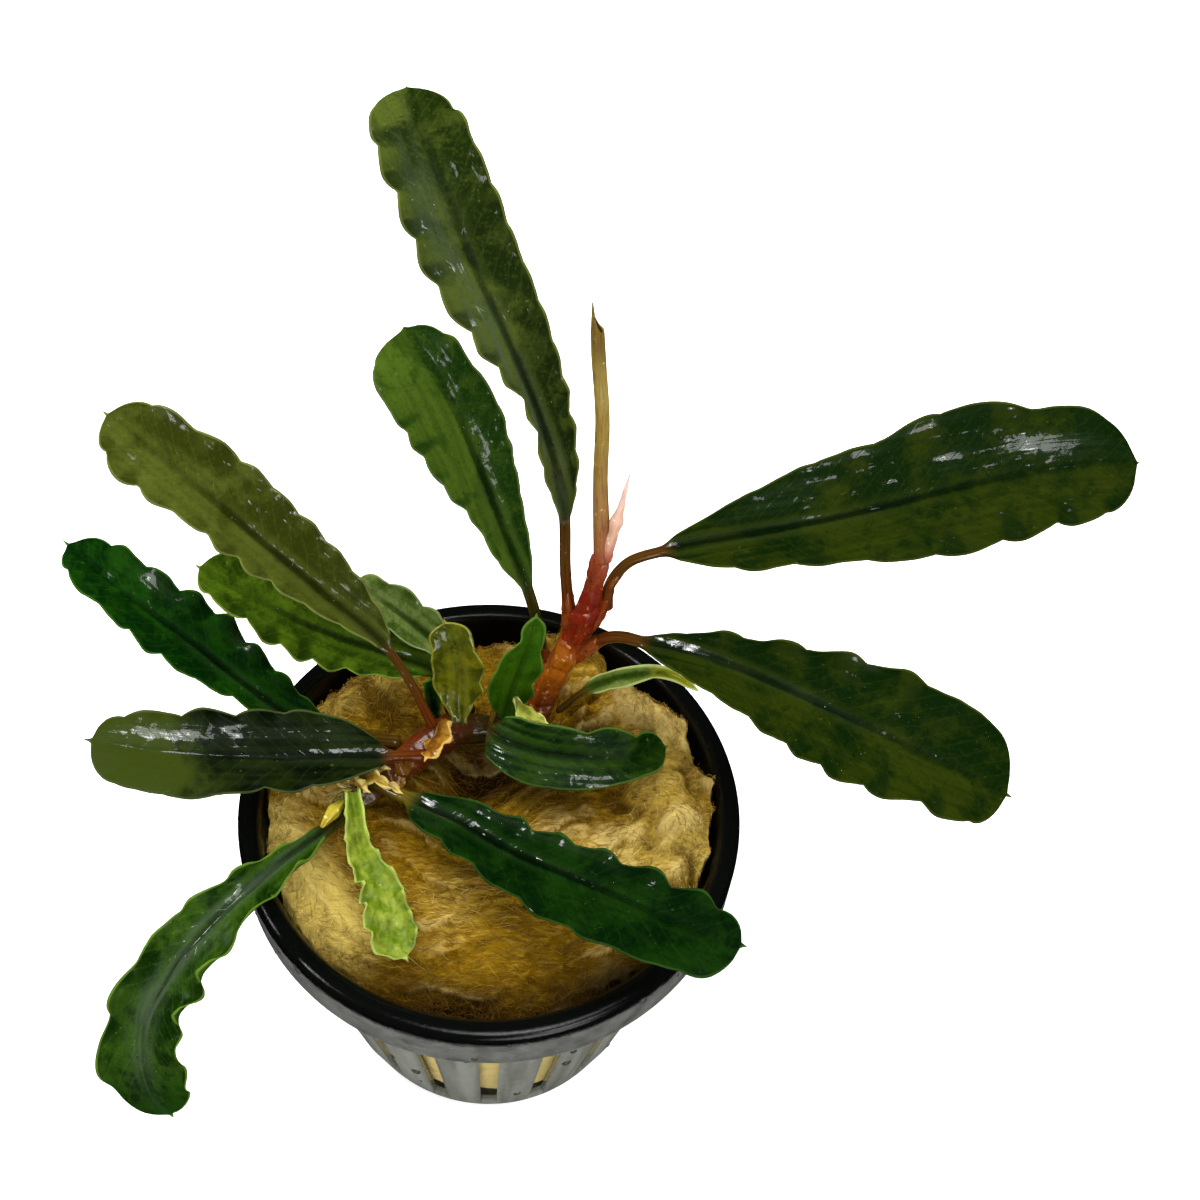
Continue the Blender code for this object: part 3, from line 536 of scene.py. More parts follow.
LEAVES = (
    Leaf("leaf_tall_back", ((8.7, 14.5, 60.7), (8.2, 16, 66), (8, 17.8, 71), (6.8, 17.5, 79),
        (4.4, 18.5, 87), (1.3, 20, 95), (-1.6, 22.3, 101), (-4, 25.5, 106.5), (-6.3, 30.5, 110),
        (-7.5, 34.6, 111)), 2, ((1.01, 0.1, 0), (0.92, 0.4, 0)), (0.6, 1.4, 1.0, 2.9, 4.4, 4.8),
        (0.6, 2.2, 3.4, 4.1, 4.4, 4.1), "leaf_olive", OLIVE_LEAF, tip_power=3.2, waves=(12, 12),
        spur=0.35, ruffle=0.4, scallop=(0.27, 0.22), sheen=(Sheen(0.55, -0.45, 0.3, 0.35),
        Sheen(0.12, 0.0, 0.12, 0.5, 0.6))),
    Leaf("leaf_upright_back", ((6.3, 14.1, 51), (5.7, 14.5, 56), (4.2, 15.1, 63), (1.8, 16.4, 70),
        (-0.8, 18.2, 78), (-3.3, 20.5, 84), (-5.8, 23, 88), (-8.4, 26.4, 90)), 2, ((1.01, 0.2, 0),
        (0.82, 0.5, 0.1)), (0.5, 1.9, 2.6, 4.3, 5.4, 6.1), (0.6, 2.0, 2.8, 3.6, 4.2, 3.6),
        "leaf_dark", DEEP_LEAF, waves=(9, 9), spur=0.3, ruffle=0.35, scallop=(0.24, 0.18),
        sheen=(Sheen(0.9, 0.4, 0.09, 0.4), Sheen(0.45, 0.3, 0.25, 0.15, 0.7))),
    Leaf("leaf_upper_right", ((12.8, 14.0, 61.9), (13.0, 14.2, 65.0), (14.7, 14.8, 67.7),
        (18.5, 15.4, 69), (25.2, 15.4, 71), (33, 15.2, 73.5), (42.2, 15.9, 76), (51.8, 17, 78.3),
        (58.2, 17.4, 79.5), (65.2, 17.5, 80)), 3, ((-0.03, -0.9, -0.3), (-0.02, -0.9, -0.4)),
        (0.9, 3.8, 6.1, 6.9, 8.4, 6.5), (1.1, 4.0, 4.9, 6.5, 7.0, 6.1), "leaf_green", MOTTLED_LEAF,
        waves=(7, 8), petiole=0.55, spur=0.5, ruffle=0.45, scallop=(0.3, 0.26),
        sheen=(Sheen(0.84, -0.38, 0.11, 0.2, 0.8), Sheen(0.64, -0.38, 0.04, 0.15, 0.8),
        Sheen(0.27, -0.6, 0.1, 0.2, 0.7), Sheen(0.5, -0.95, 0.25, 0.12, 0.7))),
    Leaf("leaf_lower_right", ((11.3, 12.1, 56.6), (12.5, 11.9, 58.3), (14.5, 11.1, 59.7),
        (16.6, 10.2, 60), (22.3, 7.2, 61.7), (28.1, 3.6, 62.6), (33.7, -0.1, 63), (39.1, -3.5, 63),
        (44.6, -6.7, 62.5), (51.5, -9.8, 61)), 3, ((-0.53, -0.9, -0.2), (-0.43, -0.9, -0.2)),
        (0.8, 2.6, 4.2, 6.0, 7.0, 6.8), (1.0, 3.5, 4.9, 6.3, 6.8, 5.3), "leaf_green", MOTTLED_LEAF,
        tip_power=3.2, waves=(6, 9), spur=0.7, ruffle=0.45, scallop=(0.24, 0.36),
        sheen=(Sheen(0.35, 0.0, 0.3, 0.1, 0.6), Sheen(0.55, -0.95, 0.05, 0.1))),
    Leaf("leaf_small_right", ((8.4, 10.2, 47.5), (10.8, 10.8, 50), (15.2, 10.6, 53),
        (19.9, 10.3, 54), (23.6, 9.3, 52)), 1, ((0.19, -0.8, -0.5), (0.19, -0.8, -0.5)),
        (0.6, 1.0, 1.1, 0.9, 0.7, 0.6), (0.6, 1.1, 1.2, 0.9, 0.7, 0.6), "leaf_light", PALE_LEAF,
        waves=(2, 2), ruffle=0.2, cup=0.4, petiole=0.3),
    Leaf("leaf_small_centre", ((1.8, 9.5, 46.8), (2.3, 10, 49), (3.6, 10.8, 55), (4.7, 11.7, 58.5),
        (5.2, 12.6, 62)), 0, ((1.01, 0, -0.2), (1.02, 0.2, -0.2)), (1.0, 2.5, 3.0, 2.9, 2.4, 1.5),
        (0.9, 1.8, 2.3, 2.3, 1.9, 1.3), "leaf_light", GREEN_LEAF, tip_power=1.5, cup=0.5,
        waves=(3, 3), ruffle=0.3),
    Leaf("leaf_curled_centre", ((0.5, 7.6, 49.9), (0.2, 5.0, 50.9), (4.4, 2.0, 51.6),
        (9.8, 1, 51.5), (15.4, 1.3, 51), (19.9, 3.4, 50)), 1, ((-0.41, -0.9, -0.6),
        (-0.01, -0.9, -0.6), (0.29, -0.9, -0.6)), (1.9, 3.0, 3.0, 2.9, 3.2, 2.4),
        (2.0, 3.3, 3.8, 3.6, 3.1, 2.3), "leaf_dark", CURLED_LEAF, waves=(3, 3), ruffle=0.4,
        ridge=(0.06, 0.9), sheen=(Sheen(0.1, 0.4, 0.16, 0.5), Sheen(0.62, 0.75, 0.16, 0.2),
        Sheen(0.5, -0.8, 0.2, 0.2, 0.6)), petiole=0.3),
    Leaf("leaf_upper_left", ((-6.4, 6.2, 50.4), (-8.9, 8.4, 56), (-10.9, 9.9, 59),
        (-17, 11.3, 66.5), (-23.6, 12.9, 74), (-28.8, 14.9, 79), (-33.8, 16.8, 83),
        (-37.8, 19.2, 85.5)), 2, ((0.71, 0.6, 0.3), (0.71, 0.6, 0.3)),
        (0.6, 1.6, 2.5, 3.2, 3.4, 4.0), (0.9, 3.2, 4.4, 4.9, 5.1, 4.5), "leaf_olive", BROWN_LEAF,
        waves=(9, 9), petiole=0.5, spur=0.7, scallop=(0.48, 0.26),
        sheen=(Sheen(0.18, 0.55, 0.12, 0.2), Sheen(0.6, 0.92, 0.3, 0.1, 0.8),
        Sheen(0.9, 0.9, 0.06, 0.2))),
    Leaf("leaf_far_left", ((-10.6, 4.5, 49.1), (-16.8, 5.5, 49.2), (-22.2, 7, 50.5),
        (-27.3, 9.1, 54), (-31.7, 11.2, 57.5), (-37.7, 14.2, 61), (-43.8, 18.1, 64),
        (-46.8, 20.5, 65)), 1, ((0.34, 0.9, 0.1), (0.44, 0.9, 0.1)), (0.7, 1.8, 2.6, 3.8, 3.8, 3.2),
        (0.8, 2.9, 3.9, 4.6, 4.3, 3.8), "leaf_dark", EMERALD_LEAF, waves=(8, 8), spur=1.1,
        scallop=(0.45, 0.4), sheen=(Sheen(0.72, 0.75, 0.07, 0.25), Sheen(0.42, 0.8, 0.05, 0.2),
        Sheen(0.3, -0.2, 0.2, 0.2, 0.5))),
    Leaf("leaf_behind_left", ((-4.1, 8.7, 48.9), (-6.1, 12.6, 51), (-11.1, 13.7, 53),
        (-17.7, 13.9, 56.5), (-22.9, 14.4, 60), (-27.6, 15.3, 63), (-31.8, 16.9, 65)), 1,
        ((0.23, 0.9, 0.3), (0.23, 0.9, 0.3)), (1.0, 2.8, 3.6, 4.2, 4.0, 2.8),
        (1.0, 3.4, 4.2, 4.6, 4.5, 3.8), "leaf_light", FRESH_LEAF, waves=(7, 7), ruffle=0.4,
        scallop=(0.34, 0.3), spur=0.7),
    Leaf("leaf_hidden_left", ((-2.4, 9, 49.2), (-4.4, 13.2, 53), (-9.1, 16, 56.5),
        (-12.6, 17.6, 58.5), (-15.4, 19.2, 60)), 1, ((0.53, 0.8, 0.2), (0.53, 0.8, 0.2)),
        (0.7, 1.8, 2.4, 2.6, 2.5, 2.0), (0.7, 1.8, 2.4, 2.6, 2.5, 2.0), "leaf_light", HAZY_LEAF,
        waves=(3, 3), ruffle=0.3),
    Leaf("leaf_small_left", ((-3.3, 7, 50.4), (-3.3, 8.2, 52.5), (-3.3, 9.3, 57), (-4.2, 10.3, 61),
        (-4.8, 11, 63)), 0, ((1, 0, 0), (1, 0, 0)), (0.9, 1.9, 2.8, 2.9, 2.7, 2.3),
        (0.9, 1.9, 2.6, 2.7, 2.6, 2.3), "leaf_olive", AMBER_LEAF, waves=(3, 3), ruffle=0.4,
        sheen=(Sheen(0.6, 0.2, 0.25, 0.3), Sheen(0.3, 0.1, 0.2, 0.15))),
    Leaf("leaf_bud_left", ((-6, 8.1, 49.4), (-6.3, 8.9, 52), (-6.5, 9.6, 54.6)), 0, ((1, 0, 0),
        (1, 0, 0)), (0.4, 0.8, 1.0, 1.1, 1.0, 0.8), (0.4, 0.8, 1.0, 1.1, 1.0, 0.8), "leaf_dark",
        EMERALD_LEAF, waves=(1, 1), ruffle=0.1, cup=0.3, petiole=0.4),
    Leaf("leaf_front_left", ((-7.6, 2.1, 50), (-10.8, 1.4, 51), (-16, 0.5, 52.5), (-24.6, -1.2, 55),
        (-34.4, -1.9, 57), (-41.9, -1.6, 59)), 1, ((-0.07, 0.9, 0.3), (-0.07, 0.9, 0.3)),
        (0.9, 2.9, 3.9, 4.0, 4.9, 4.4), (1.2, 4.0, 4.9, 4.7, 4.6, 3.8), "leaf_dark", WET_LEAF,
        waves=(6, 6), ruffle=0.35, petiole=0.55, spur=0.9, ridge=(0.14, 0.3),
        sheen=(Sheen(0.78, 0.45, 0.14, 0.2), Sheen(0.5, 0.5, 0.22, 0.16, 0.9),
        Sheen(0.2, 0.5, 0.15, 0.3, 0.5), Sheen(0.55, 0.0, 0.4, 0.06, 0.9))),
    Leaf("sheath_scrap", ((-5, 5.2, 51), (-5.9, 2.6, 51.8), (-7, 0.4, 51.4)), 0, ((0.85, -0.3, 0.5),
        (0.85, -0.3, 0.5)), (0.8, 1.3, 1.6, 1.6, 1.4, 1.1), (0.8, 1.2, 1.4, 1.4, 1.2, 0.9),
        "sheath_amber", SCRAP, cup=0.7, waves=(2, 2), ruffle=0.3, petiole=0.4, crumple=0.6),
    Leaf("leaf_drooping", ((-15.2, -3.5, 47.2), (-17.3, -6.2, 48.3), (-21.1, -11.2, 51),
        (-24.8, -15.8, 52), (-28.4, -18.9, 50.3), (-31.9, -22, 47), (-34.4, -24.8, 43),
        (-35.1, -27.5, 39.5), (-34.4, -29.9, 36), (-32.8, -31.5, 33)), 1, ((-0.67, 0.6, 0),
        (-0.67, 0.6, 0), (-0.77, 0.5, 0), (-0.93, 0.1, -0.2)), (0.5, 2.3, 2.9, 4.0, 4.2, 5.2),
        (1.0, 1.2, 2.6, 3.7, 4.1, 5.3), "leaf_dark", DROOPING_LEAF, waves=(7, 7), ruffle=0.8,
        spur=0.7, scallop=(0.3, 0.26), curl=(0.95, 0.08), sheen=(Sheen(0.42, 0.1, 0.3, 0.25),
        Sheen(0.7, 0.1, 0.2, 0.28, 0.9))),
    Leaf("leaf_new", ((-14.6, -1.6, 48), (-14.6, -3, 49.7), (-14.3, -4.8, 49.8),
        (-13.8, -8.1, 49.5), (-12.7, -10.9, 49.3), (-11.6, -13.1, 49.1), (-10.7, -15.8, 48.8),
        (-9.9, -17.8, 48.4), (-9.1, -19.4, 47.9), (-8.1, -20.8, 47.4)), 0, ((-1, 0, 0),
        (-0.92, -0.4, 0)), (0.5, 1.0, 1.2, 1.6, 2.5, 2.6), (0.5, 1.0, 1.4, 1.9, 2.3, 2.7),
        "leaf_yellow_green", BRIGHT_LEAF, tip_power=3.2, waves=(9, 8), petiole=0.5, crumple=0.6,
        scallop=(0.15, 0.2), curl=(0.35, 1.15), roll_from=0.45),
    Leaf("leaf_front_right", ((-12.3, -0.5, 49), (-10.8, -1.8, 49.3), (-8.3, -3.5, 50),
        (-3.1, -7.3, 52), (2.5, -12, 54), (8, -15.6, 55.5), (13.2, -18.6, 56.5), (17.6, -21.2, 57),
        (24.3, -23.9, 57.5)), 2, ((-0.53, -0.8, -0.1), (-0.43, -0.8, -0.1)),
        (1.2, 2.5, 3.1, 3.4, 3.6, 3.6), (2.0, 3.2, 3.9, 5.0, 5.4, 4.8), "leaf_dark", FRONT_LEAF,
        waves=(7, 7), petiole=0.7, scallop=(0.4, 0.36), sheen=(Sheen(0.3, -0.8, 0.12, 0.15),
        Sheen(0.55, -0.85, 0.12, 0.15, 0.8), Sheen(0.08, 0.2, 0.08, 0.5, 0.7))),
)

TORN = (
    Leaf("leaf_curled_strip", ((3.3, 7.7, 51.9), (3.8, 6.2, 53.0), (4.9, 4.9, 53.4),
        (6.7, 4.0, 53.0)), 0, ((1.01, 0.4, 0.2), (0.82, 0.6, 0.2)), (0.4, 0.7, 1.0, 1.2, 1.2, 0.8),
        (0.3, 0.6, 0.9, 1.0, 1.0, 0.7), "leaf_yellow_green", YELLOW_SHRED, cup=0.5, waves=(2, 2),
        ruffle=0.3, petiole=0.3, crumple=0.3, curl=(0.0, 0.8), roll_from=0.5),
    Leaf("sheath_shred_long", ((-14.4, 0.3, 49.0), (-12.9, -0.7, 50.1), (-10.9, -2.0, 50.4),
        (-9.2, -3.1, 50.8)), 0, ((0.3, 0.9, 0.2), (0.5, 0.8, 0.2)), (0.4, 0.7, 0.9, 0.8, 0.5, 0.3),
        (0.4, 0.8, 1.0, 0.7, 0.5, 0.3), "sheath_yellow", STRAW_SHRED, cup=-0.4, waves=(3, 4),
        ruffle=0.5, petiole=0.2, crumple=0.5),
    Leaf("sheath_shred_upper", ((-13.8, 0.6, 49.2), (-12.2, 0.6, 50.1), (-10.6, 0.2, 50.3)), 0,
        ((0.1, 0.95, 0.2), (0.1, 0.95, 0.2)), (0.3, 0.6, 0.8, 0.8, 0.5, 0.3),
        (0.3, 0.6, 0.7, 0.7, 0.5, 0.3), "sheath_yellow", STRAW_SHRED, cup=0.5, waves=(3, 3),
        ruffle=0.5, petiole=0.2, crumple=0.5, curl=(0.6, 0.3)),
    Leaf("sheath_shred_low", ((-14.9, -0.4, 49.0), (-14.2, -1.9, 50.3), (-12.6, -2.9, 50.4)), 0,
        ((-0.8, 0.4, 0.3), (-0.3, 0.9, 0.3)), (0.3, 0.6, 0.7, 0.6, 0.4, 0.3),
        (0.3, 0.6, 0.8, 0.6, 0.4, 0.3), "sheath_yellow", STRAW_SHRED, cup=0.4, waves=(3, 3),
        ruffle=0.5, petiole=0.2, crumple=0.5),
)


def blade_width(half_widths, tip_power, t):
    """Half width of one side of the blade at t, 0 at its base and 1 at its tip."""
    last = len(half_widths) - 1
    slopes = np.gradient(half_widths)
    sixth = np.clip(np.asarray(t) * 6, 0, last)
    i = np.minimum(sixth.astype(int), last - 1)
    u = sixth - i
    width = ((1 + 2 * u) * (1 - u) ** 2 * np.take(half_widths, i) + u * (1 - u) ** 2 * slopes[i]
        + u ** 2 * (3 - 2 * u) * np.take(half_widths, i + 1) + u ** 2 * (u - 1) * slopes[i + 1])
    beyond = np.clip((t - last / 6) / (1 - last / 6), 0, 1)
    return width * np.sqrt(1 - beyond ** tip_power)


def margin_wave(leaf, t, side):
    """Phase of the ruffle along one margin; side is 0 for the left and 1 for the right."""
    drift = 0.12 * np.sin(5.0 * t + 2.0 * side + leaf.left[2])
    return 2 * math.pi * (leaf.waves[side] * t + drift) + 1.3 * side


def leaf_shape(leaf, seed):
    """The leaf as a closed body, and its upper face's points and directions for droplets."""
    # stations along the stalk and the blade; t runs from 0 to 1 over the blade
    path = smooth_path(leaf.spine)
    distances = distances_along(path)
    total = distances[-1]
    blade_from = distances[leaf.blade * SAMPLES_PER_LEG]
    blade_length = total - blade_from - leaf.spur
    path = np.vstack([path[0] - ROOT_DEPTH * unit(path[1] - path[0]), path])
    distances = distances_along(path) - ROOT_DEPTH
    count = max(60, int((total + ROOT_DEPTH) / STATION_STEP))
    at = np.linspace(-ROOT_DEPTH, total - 0.03, count)
    t = np.clip((at - blade_from) / blade_length, 0, 1)
    centres = read_path(path, distances, at)
    tangents = unit(read_path(np.gradient(path, axis=0), distances, at))
    spread = np.linspace(0, total, len(leaf.facing))
    rightward = read_path(np.array(leaf.facing, float), spread, at)
    rightward = unit(rightward - (rightward * tangents).sum(axis=1, keepdims=True) * tangents)
    upward = np.cross(rightward, tangents)

    # columns across the blade, closer together at the midrib
    u = np.linspace(-1, 1, 2 * HALF_COLUMNS + 1)
    v = np.sign(u) * np.abs(u) ** 1.25
    away = np.abs(v)
    sides = (v > 0).astype(int)

    stalk_radius = leaf.petiole * (1 + 0.55 * np.exp(-(at + ROOT_DEPTH) / 1.3))
    stalk_radius = stalk_radius * np.sqrt(np.clip((at + ROOT_DEPTH) / 0.5, 0.02, 1))
    opened = step_between(-0.8, 1.6, at - blade_from) if leaf.blade else 1.0 + 0 * at
    spur = 0.34 * np.clip((total - at) / (1.8 * leaf.spur), 0, 1) ** 0.8
    half = []
    for widths in (leaf.left, leaf.right):
        width = blade_width(widths, leaf.tip_power, t)
        width = np.where(t < 0.5, np.maximum(width, stalk_radius), width)
        width = stalk_radius + (width - stalk_radius) * opened
        half.append(np.where(t > 0.9, np.maximum(width, spur), width))
    half = np.stack(half, axis=1)[:, sides]

    # ruffled, lobed and rolled margins
    thick = BLADE_HALF_THICKNESS + (stalk_radius - BLADE_HALF_THICKNESS) * np.exp(-t / 0.09)
    thick = thick * np.clip((total - at) / leaf.spur, 0.05, 1) ** 0.5
    ruffle = leaf.ruffle * np.clip(t / 0.3, 0, 1) * np.clip((1 - t) / 0.08, 0, 1)
    cup = leaf.cup * np.clip(t / 0.2, 0, 1) * np.clip((1 - t) / 0.2, 0, 1)

    waves = np.stack([margin_wave(leaf, t, side)
                      + 0.9 * line_noise(t * leaf.waves[side] * 0.5, seed + 30 + side)
                      for side in (0, 1)], axis=1)
    uneven = np.stack([1.0 + 0.9 * line_noise(t * leaf.waves[side] * 0.8, seed + side)
                       for side in (0, 1)], axis=1)
    waves, uneven = waves[:, sides], np.clip(uneven, 0.35, 1.7)[:, sides]
    curl = np.array(leaf.curl)[sides] * np.clip(t / 0.15, 0, 1)[:, None]
    lobes = 1.6 * np.abs(np.cos(waves / 2)) ** 0.8 - 1
    lobed = (np.array(leaf.scallop)[sides]
             * (np.clip(t / 0.3, 0.2, 1) * np.clip((1 - t) / 0.05, 0, 1))[:, None])
    ruffle, cup, thick = ruffle[:, None], cup[:, None], thick[:, None]
    loops = (0.5 + 0.5 * np.sin(waves + 0.6)) ** 1.5
    turned = np.clip(2.4 * curl * uneven * loops, 0.001, 2.8)
    angle = turned * np.clip((away - leaf.roll_from) / (1 - leaf.roll_from), 0, 1)
    bend = (1 - leaf.roll_from) * half / turned
    reach = np.sign(v) * (half * np.minimum(away, leaf.roll_from) + bend * np.sin(angle)
                          + away ** 3 * lobed * uneven * lobes)
    lift = cup * away ** 1.6 + 0.75 * ruffle * uneven * away ** 3 * np.sin(waves)
    lift = lift + 0.12 * ruffle * away ** 5 * np.sin(2.3 * waves + seed)
    lift = lift + bend * (1 - np.cos(angle))
    # painted light and shade of the ruffles: positive on their crests, negative in their hollows
    fold = np.sin(waves) * uneven * away ** 2
    depth = thick * np.sqrt(1 - away ** 3)

    # relief of the faces: lumps, ridges, veins, the midrib's groove and its keel
    blade = (opened * np.clip((1 - t) / 0.1, 0, 1))[:, None]
    flat = centres[:, None] + reach[..., None] * rightward[:, None]
    aside = np.abs(reach)
    calm = 1 - away ** 8
    lift = lift + blade * calm * (0.16 * noise(flat, 5.0, seed) + 0.05 * noise(flat, 1.9, seed + 3))
    lift = lift + leaf.crumple * (noise(flat, 1.5, seed + 5) + 0.5 * noise(flat, 0.7, seed + 6)
                                  ) * step_between(0.0, 2.0, at)[:, None]
    base = np.exp(-t / leaf.ridge[1])[:, None]
    lengthwise = np.cos(2 * math.pi * aside / RIDGE_SPACING)
    ridges = leaf.ridge[0] * base * lengthwise * calm
    # painted light and shade along the lengthwise ridges near the base
    fold = fold + 1.1 * base * lengthwise * calm
    slanted = at[:, None] - VEIN_SLANT * aside + 0.5 * noise(flat, 3.0, seed + 7)
    veins = 0.012 * np.cos(2 * math.pi * slanted / VEIN_SPACING) * calm
    groove = (0.30 * np.exp(-t / 0.5) + 0.10)[:, None] * np.exp(-(aside / 0.32) ** 2)
    keel = (0.35 * np.exp(-t / 0.5) + 0.05)[:, None] * np.exp(-(aside / 0.5) ** 2)
    above = lift + depth + blade * (ridges + veins - groove)
    below = lift - depth - blade * (keel - veins)
    above[:, [0, -1]] = lift[:, [0, -1]]
    faced = (np.cos(angle)[..., None] * upward[:, None]
             - (np.sign(v) * np.sin(angle))[..., None] * rightward[:, None])
    middle = flat + lift[..., None] * upward[:, None]
    upper = middle + (above - lift)[..., None] * faced
    lower = middle + (below - lift)[..., None] * faced

    shine = 0 * flat[..., 0]
    for spot in leaf.sheen:
        shine += spot.strength * np.exp(-((t[:, None] - spot.along) / spot.length) ** 2
                                        - ((v - spot.across) / spot.width) ** 2)
    shine = shine + 0.8 * np.exp(-((aside - 0.55) / 0.25) ** 2 - (t[:, None] / 0.45) ** 2)

    ring = np.concatenate([np.arange(len(v)), np.arange(len(v) - 2, 0, -1)])
    rings = np.concatenate([upper, lower[:, -2:0:-1]], axis=1)
    masks = {"along": t[:, None], "run": at[:, None], "off": reach[:, ring],
             "rim": ((1 - away) * half)[:, ring] + 2 * (1 - opened[:, None]),
             "stalk": 1 - opened[:, None], "sheen": np.clip(shine, 0, 1)[:, ring],
             "fold": (fold * blade)[:, ring]}
    return loft(rings, masks, end=path[-1]), upper, upward


# ---- stems

RIGHT_RHIZOME = ((5.2, 10.0, 43), (6.7, 11.7, 49), (8, 12.3, 53), (9.3, 12.8, 57), (10.6, 13, 62),
                 (11.5, 13.8, 67), (11.9, 14.3, 70))
LEFT_RHIZOME = ((-15.7, -2.2, 46.1), (-11.6, 1.2, 46.8), (-7.5, 4.4, 48), (-4.1, 6.6, 48.4),
                (-0.3, 7.3, 47.4), (2.3, 7.8, 46))

# Points and radii of the thick lower ends of the stalks that leave the right rhizome
STALK_FEET = (
    (((9.0, 12.9, 54.5), (8.8, 13.8, 57.8), (8.7, 14.6, 61), (8.2, 16, 66)),
     (0.5, 0.85, 0.72, 0.45)),
    (((6.9, 12.2, 46.8), (6.5, 13.3, 49.3), (6.2, 14.2, 52.3), (5.7, 14.6, 57)),
     (0.6, 0.95, 0.72, 0.45)),
    (((10.6, 13.1, 57.5), (11.7, 13.7, 60), (12.7, 14.1, 62.8), (13.1, 14.3, 65.2),
      (14.6, 14.8, 67.6)), (0.6, 0.95, 0.76, 0.56, 0.4)),
    (((8.9, 12.6, 52.5), (10.1, 12.4, 54.8), (11.3, 12.1, 56.7), (12.7, 11.9, 58.4),
      (14.4, 11.2, 59.6)), (0.7, 1.0, 0.8, 0.62, 0.45)),
)

CUT_STALK = ((11.9, 14.0, 69.4), (11.2, 16.1, 79), (10.9, 16.3, 87), (10, 16, 95.5),
             (9.7, 15.6, 98.6))
CUT_STALK_RADII = (0.95, 0.75, 0.7, 0.68, 0.62)
BUD = ((12.2, 13.9, 69.4), (13.0, 14.2, 75), (13.9, 14.9, 81.3))
YELLOW_SHEATH = ((-15.4, -3.2, 49.4), (-16.5, -5.2, 50.4), (-17.6, -7.2, 50.6))


def tube(points, radii, sides, step, relief):
    """A round stem through the points; relief(run, turn, spot) is added to its radius."""
    path = smooth_path(points)
    distances = distances_along(path)
    at = np.linspace(0, distances[-1], max(12, int(distances[-1] / step)))
    centres = read_path(path, distances, at)
    tangents = unit(np.gradient(centres, axis=0))
    side = np.empty_like(centres)
    previous = unit(np.cross(tangents[0], (0.3, 0.2, 1.0)))
    for i, tangent in enumerate(tangents):
        previous = unit(previous - (previous @ tangent) * tangent)
        side[i] = previous
    other = np.cross(tangents, side)
    turn = np.linspace(0, 2 * math.pi, sides, endpoint=False)
    ways = (np.cos(turn)[None, :, None] * side[:, None]
            + np.sin(turn)[None, :, None] * other[:, None])
    radius = np.interp(at, distances[::SAMPLES_PER_LEG], radii)[:, None]
    radius = radius + relief(at[:, None], turn[None, :], centres[:, None] + ways)
    rounded_end = np.sqrt(np.clip((at[-1] - at + 0.05) / radii[-1], 0.02, 1))
    rings = centres[:, None] + radius[..., None] * rounded_end[:, None, None] * ways
    return loft(rings, {"along": (at / distances[-1])[:, None], "turn": np.cos(turn),
                        "run": at[:, None]})


def bark(places, height, width, seed, ridges=0.10):
    """Slanting leaf scars at the given distances, on a lumpy skin with lengthwise ridges."""
    def relief(run, turn, spot):
        total = 0.22 * noise(spot, 2.2, seed) + 0.07 * noise(spot, 0.7, seed + 1)
        twist = 0.25 * run + 0.8 * noise(spot, 3.0, seed + 2)
        total = total + ridges * np.cos(5 * turn + twist)
        for i, place_at in enumerate(places):
            lean = place_at + 0.9 * np.cos(turn + 2.3 * i)
            total = total + height * np.exp(-((run - lean) / width) ** 2)
            total = total - 0.6 * height * np.exp(-((run - lean - 1.5 * width) / 0.25) ** 2)
        return total
    return relief


def stem_material(name, colours, scar, rough=(0.15, 0.35), lengthwise=0.5):
    """Glossy bark whose colour goes through the colours from foot to top."""
    paint = Paint(name)
    drift = paint.mask("along") + paint.noise(3.0) * 0.3 - 0.15
    legs = len(colours) - 1
    colour = colours[0]
    for i, other in enumerate(colours[1:]):
        colour = drift.ease(i / legs, (i + 1) / legs).mix(colour, other)
    grain = paint.noise(1.0, 3.0, 0.6,
                        paint.vector(paint.mask("run") * 0.3, paint.mask("turn") * 3.0))
    colour = washed(colour, (grain, 0.45, 0.70, lengthwise, shade(colours[0], 0.4)),
                    (paint.noise(0.9, 2.0, 0.6), 0.62, 0.74, 0.8, scar))
    normal = paint.bumps((grain, 0.12, 0.6), (paint.noise(0.4, 2.0), 0.05, 0.6))
    return paint.finish(colour, paint.noise(1.5).ease(0.35, 0.65, *rough), Normal=normal,
        Coat_Weight=0.5, Coat_Roughness=0.1, Coat_Normal=normal, Specular_IOR_Level=0.4)


def quill():
    """The cut leaf stalk: a round stalk with a hollow, slanting end and a sliver of a tip."""
    path = smooth_path(CUT_STALK)
    distances = distances_along(path)
    end = distances[-1]
    turn = np.linspace(0, 2 * math.pi, 32, endpoint=False)
    slant = 3.6 * (0.5 + 0.5 * np.cos(turn)) ** 2.2
    rows = ([(at + 0 * turn, 1.0) for at in np.linspace(0, end, 110)]
            + [(end + share * slant, 1.0) for share in np.linspace(0.1, 1, 12)]
            + [(end - 0.9 + share * (slant + 0.85), 0.68) for share in np.linspace(1, 0.0, 12)])
    direction = unit(path[-1] - path[-2]) + np.array((-0.02, 0, 0))
    rings = []
    for at, scale in rows:
        inside = np.minimum(at, end)
        centre = read_path(path, distances, inside) + (at - inside)[:, None] * direction
        radius = np.interp(inside, distances[::SAMPLES_PER_LEG], CUT_STALK_RADII) * scale
        ribs = 0.035 * np.cos(5 * turn + 0.4 * np.sin(inside / 4))
        radius = (radius + ribs) * (1 - 0.5 * np.clip((at - inside) / 3.6, 0, 1))
        rings.append(centre + radius[:, None] * level(-np.cos(turn), -np.sin(turn)))
    runs = np.array([at for at, _ in rows])
    return loft(np.array(rings), {"along": runs / end, "run": runs, "turn": np.cos(turn)})


# ---- fibres and droplets

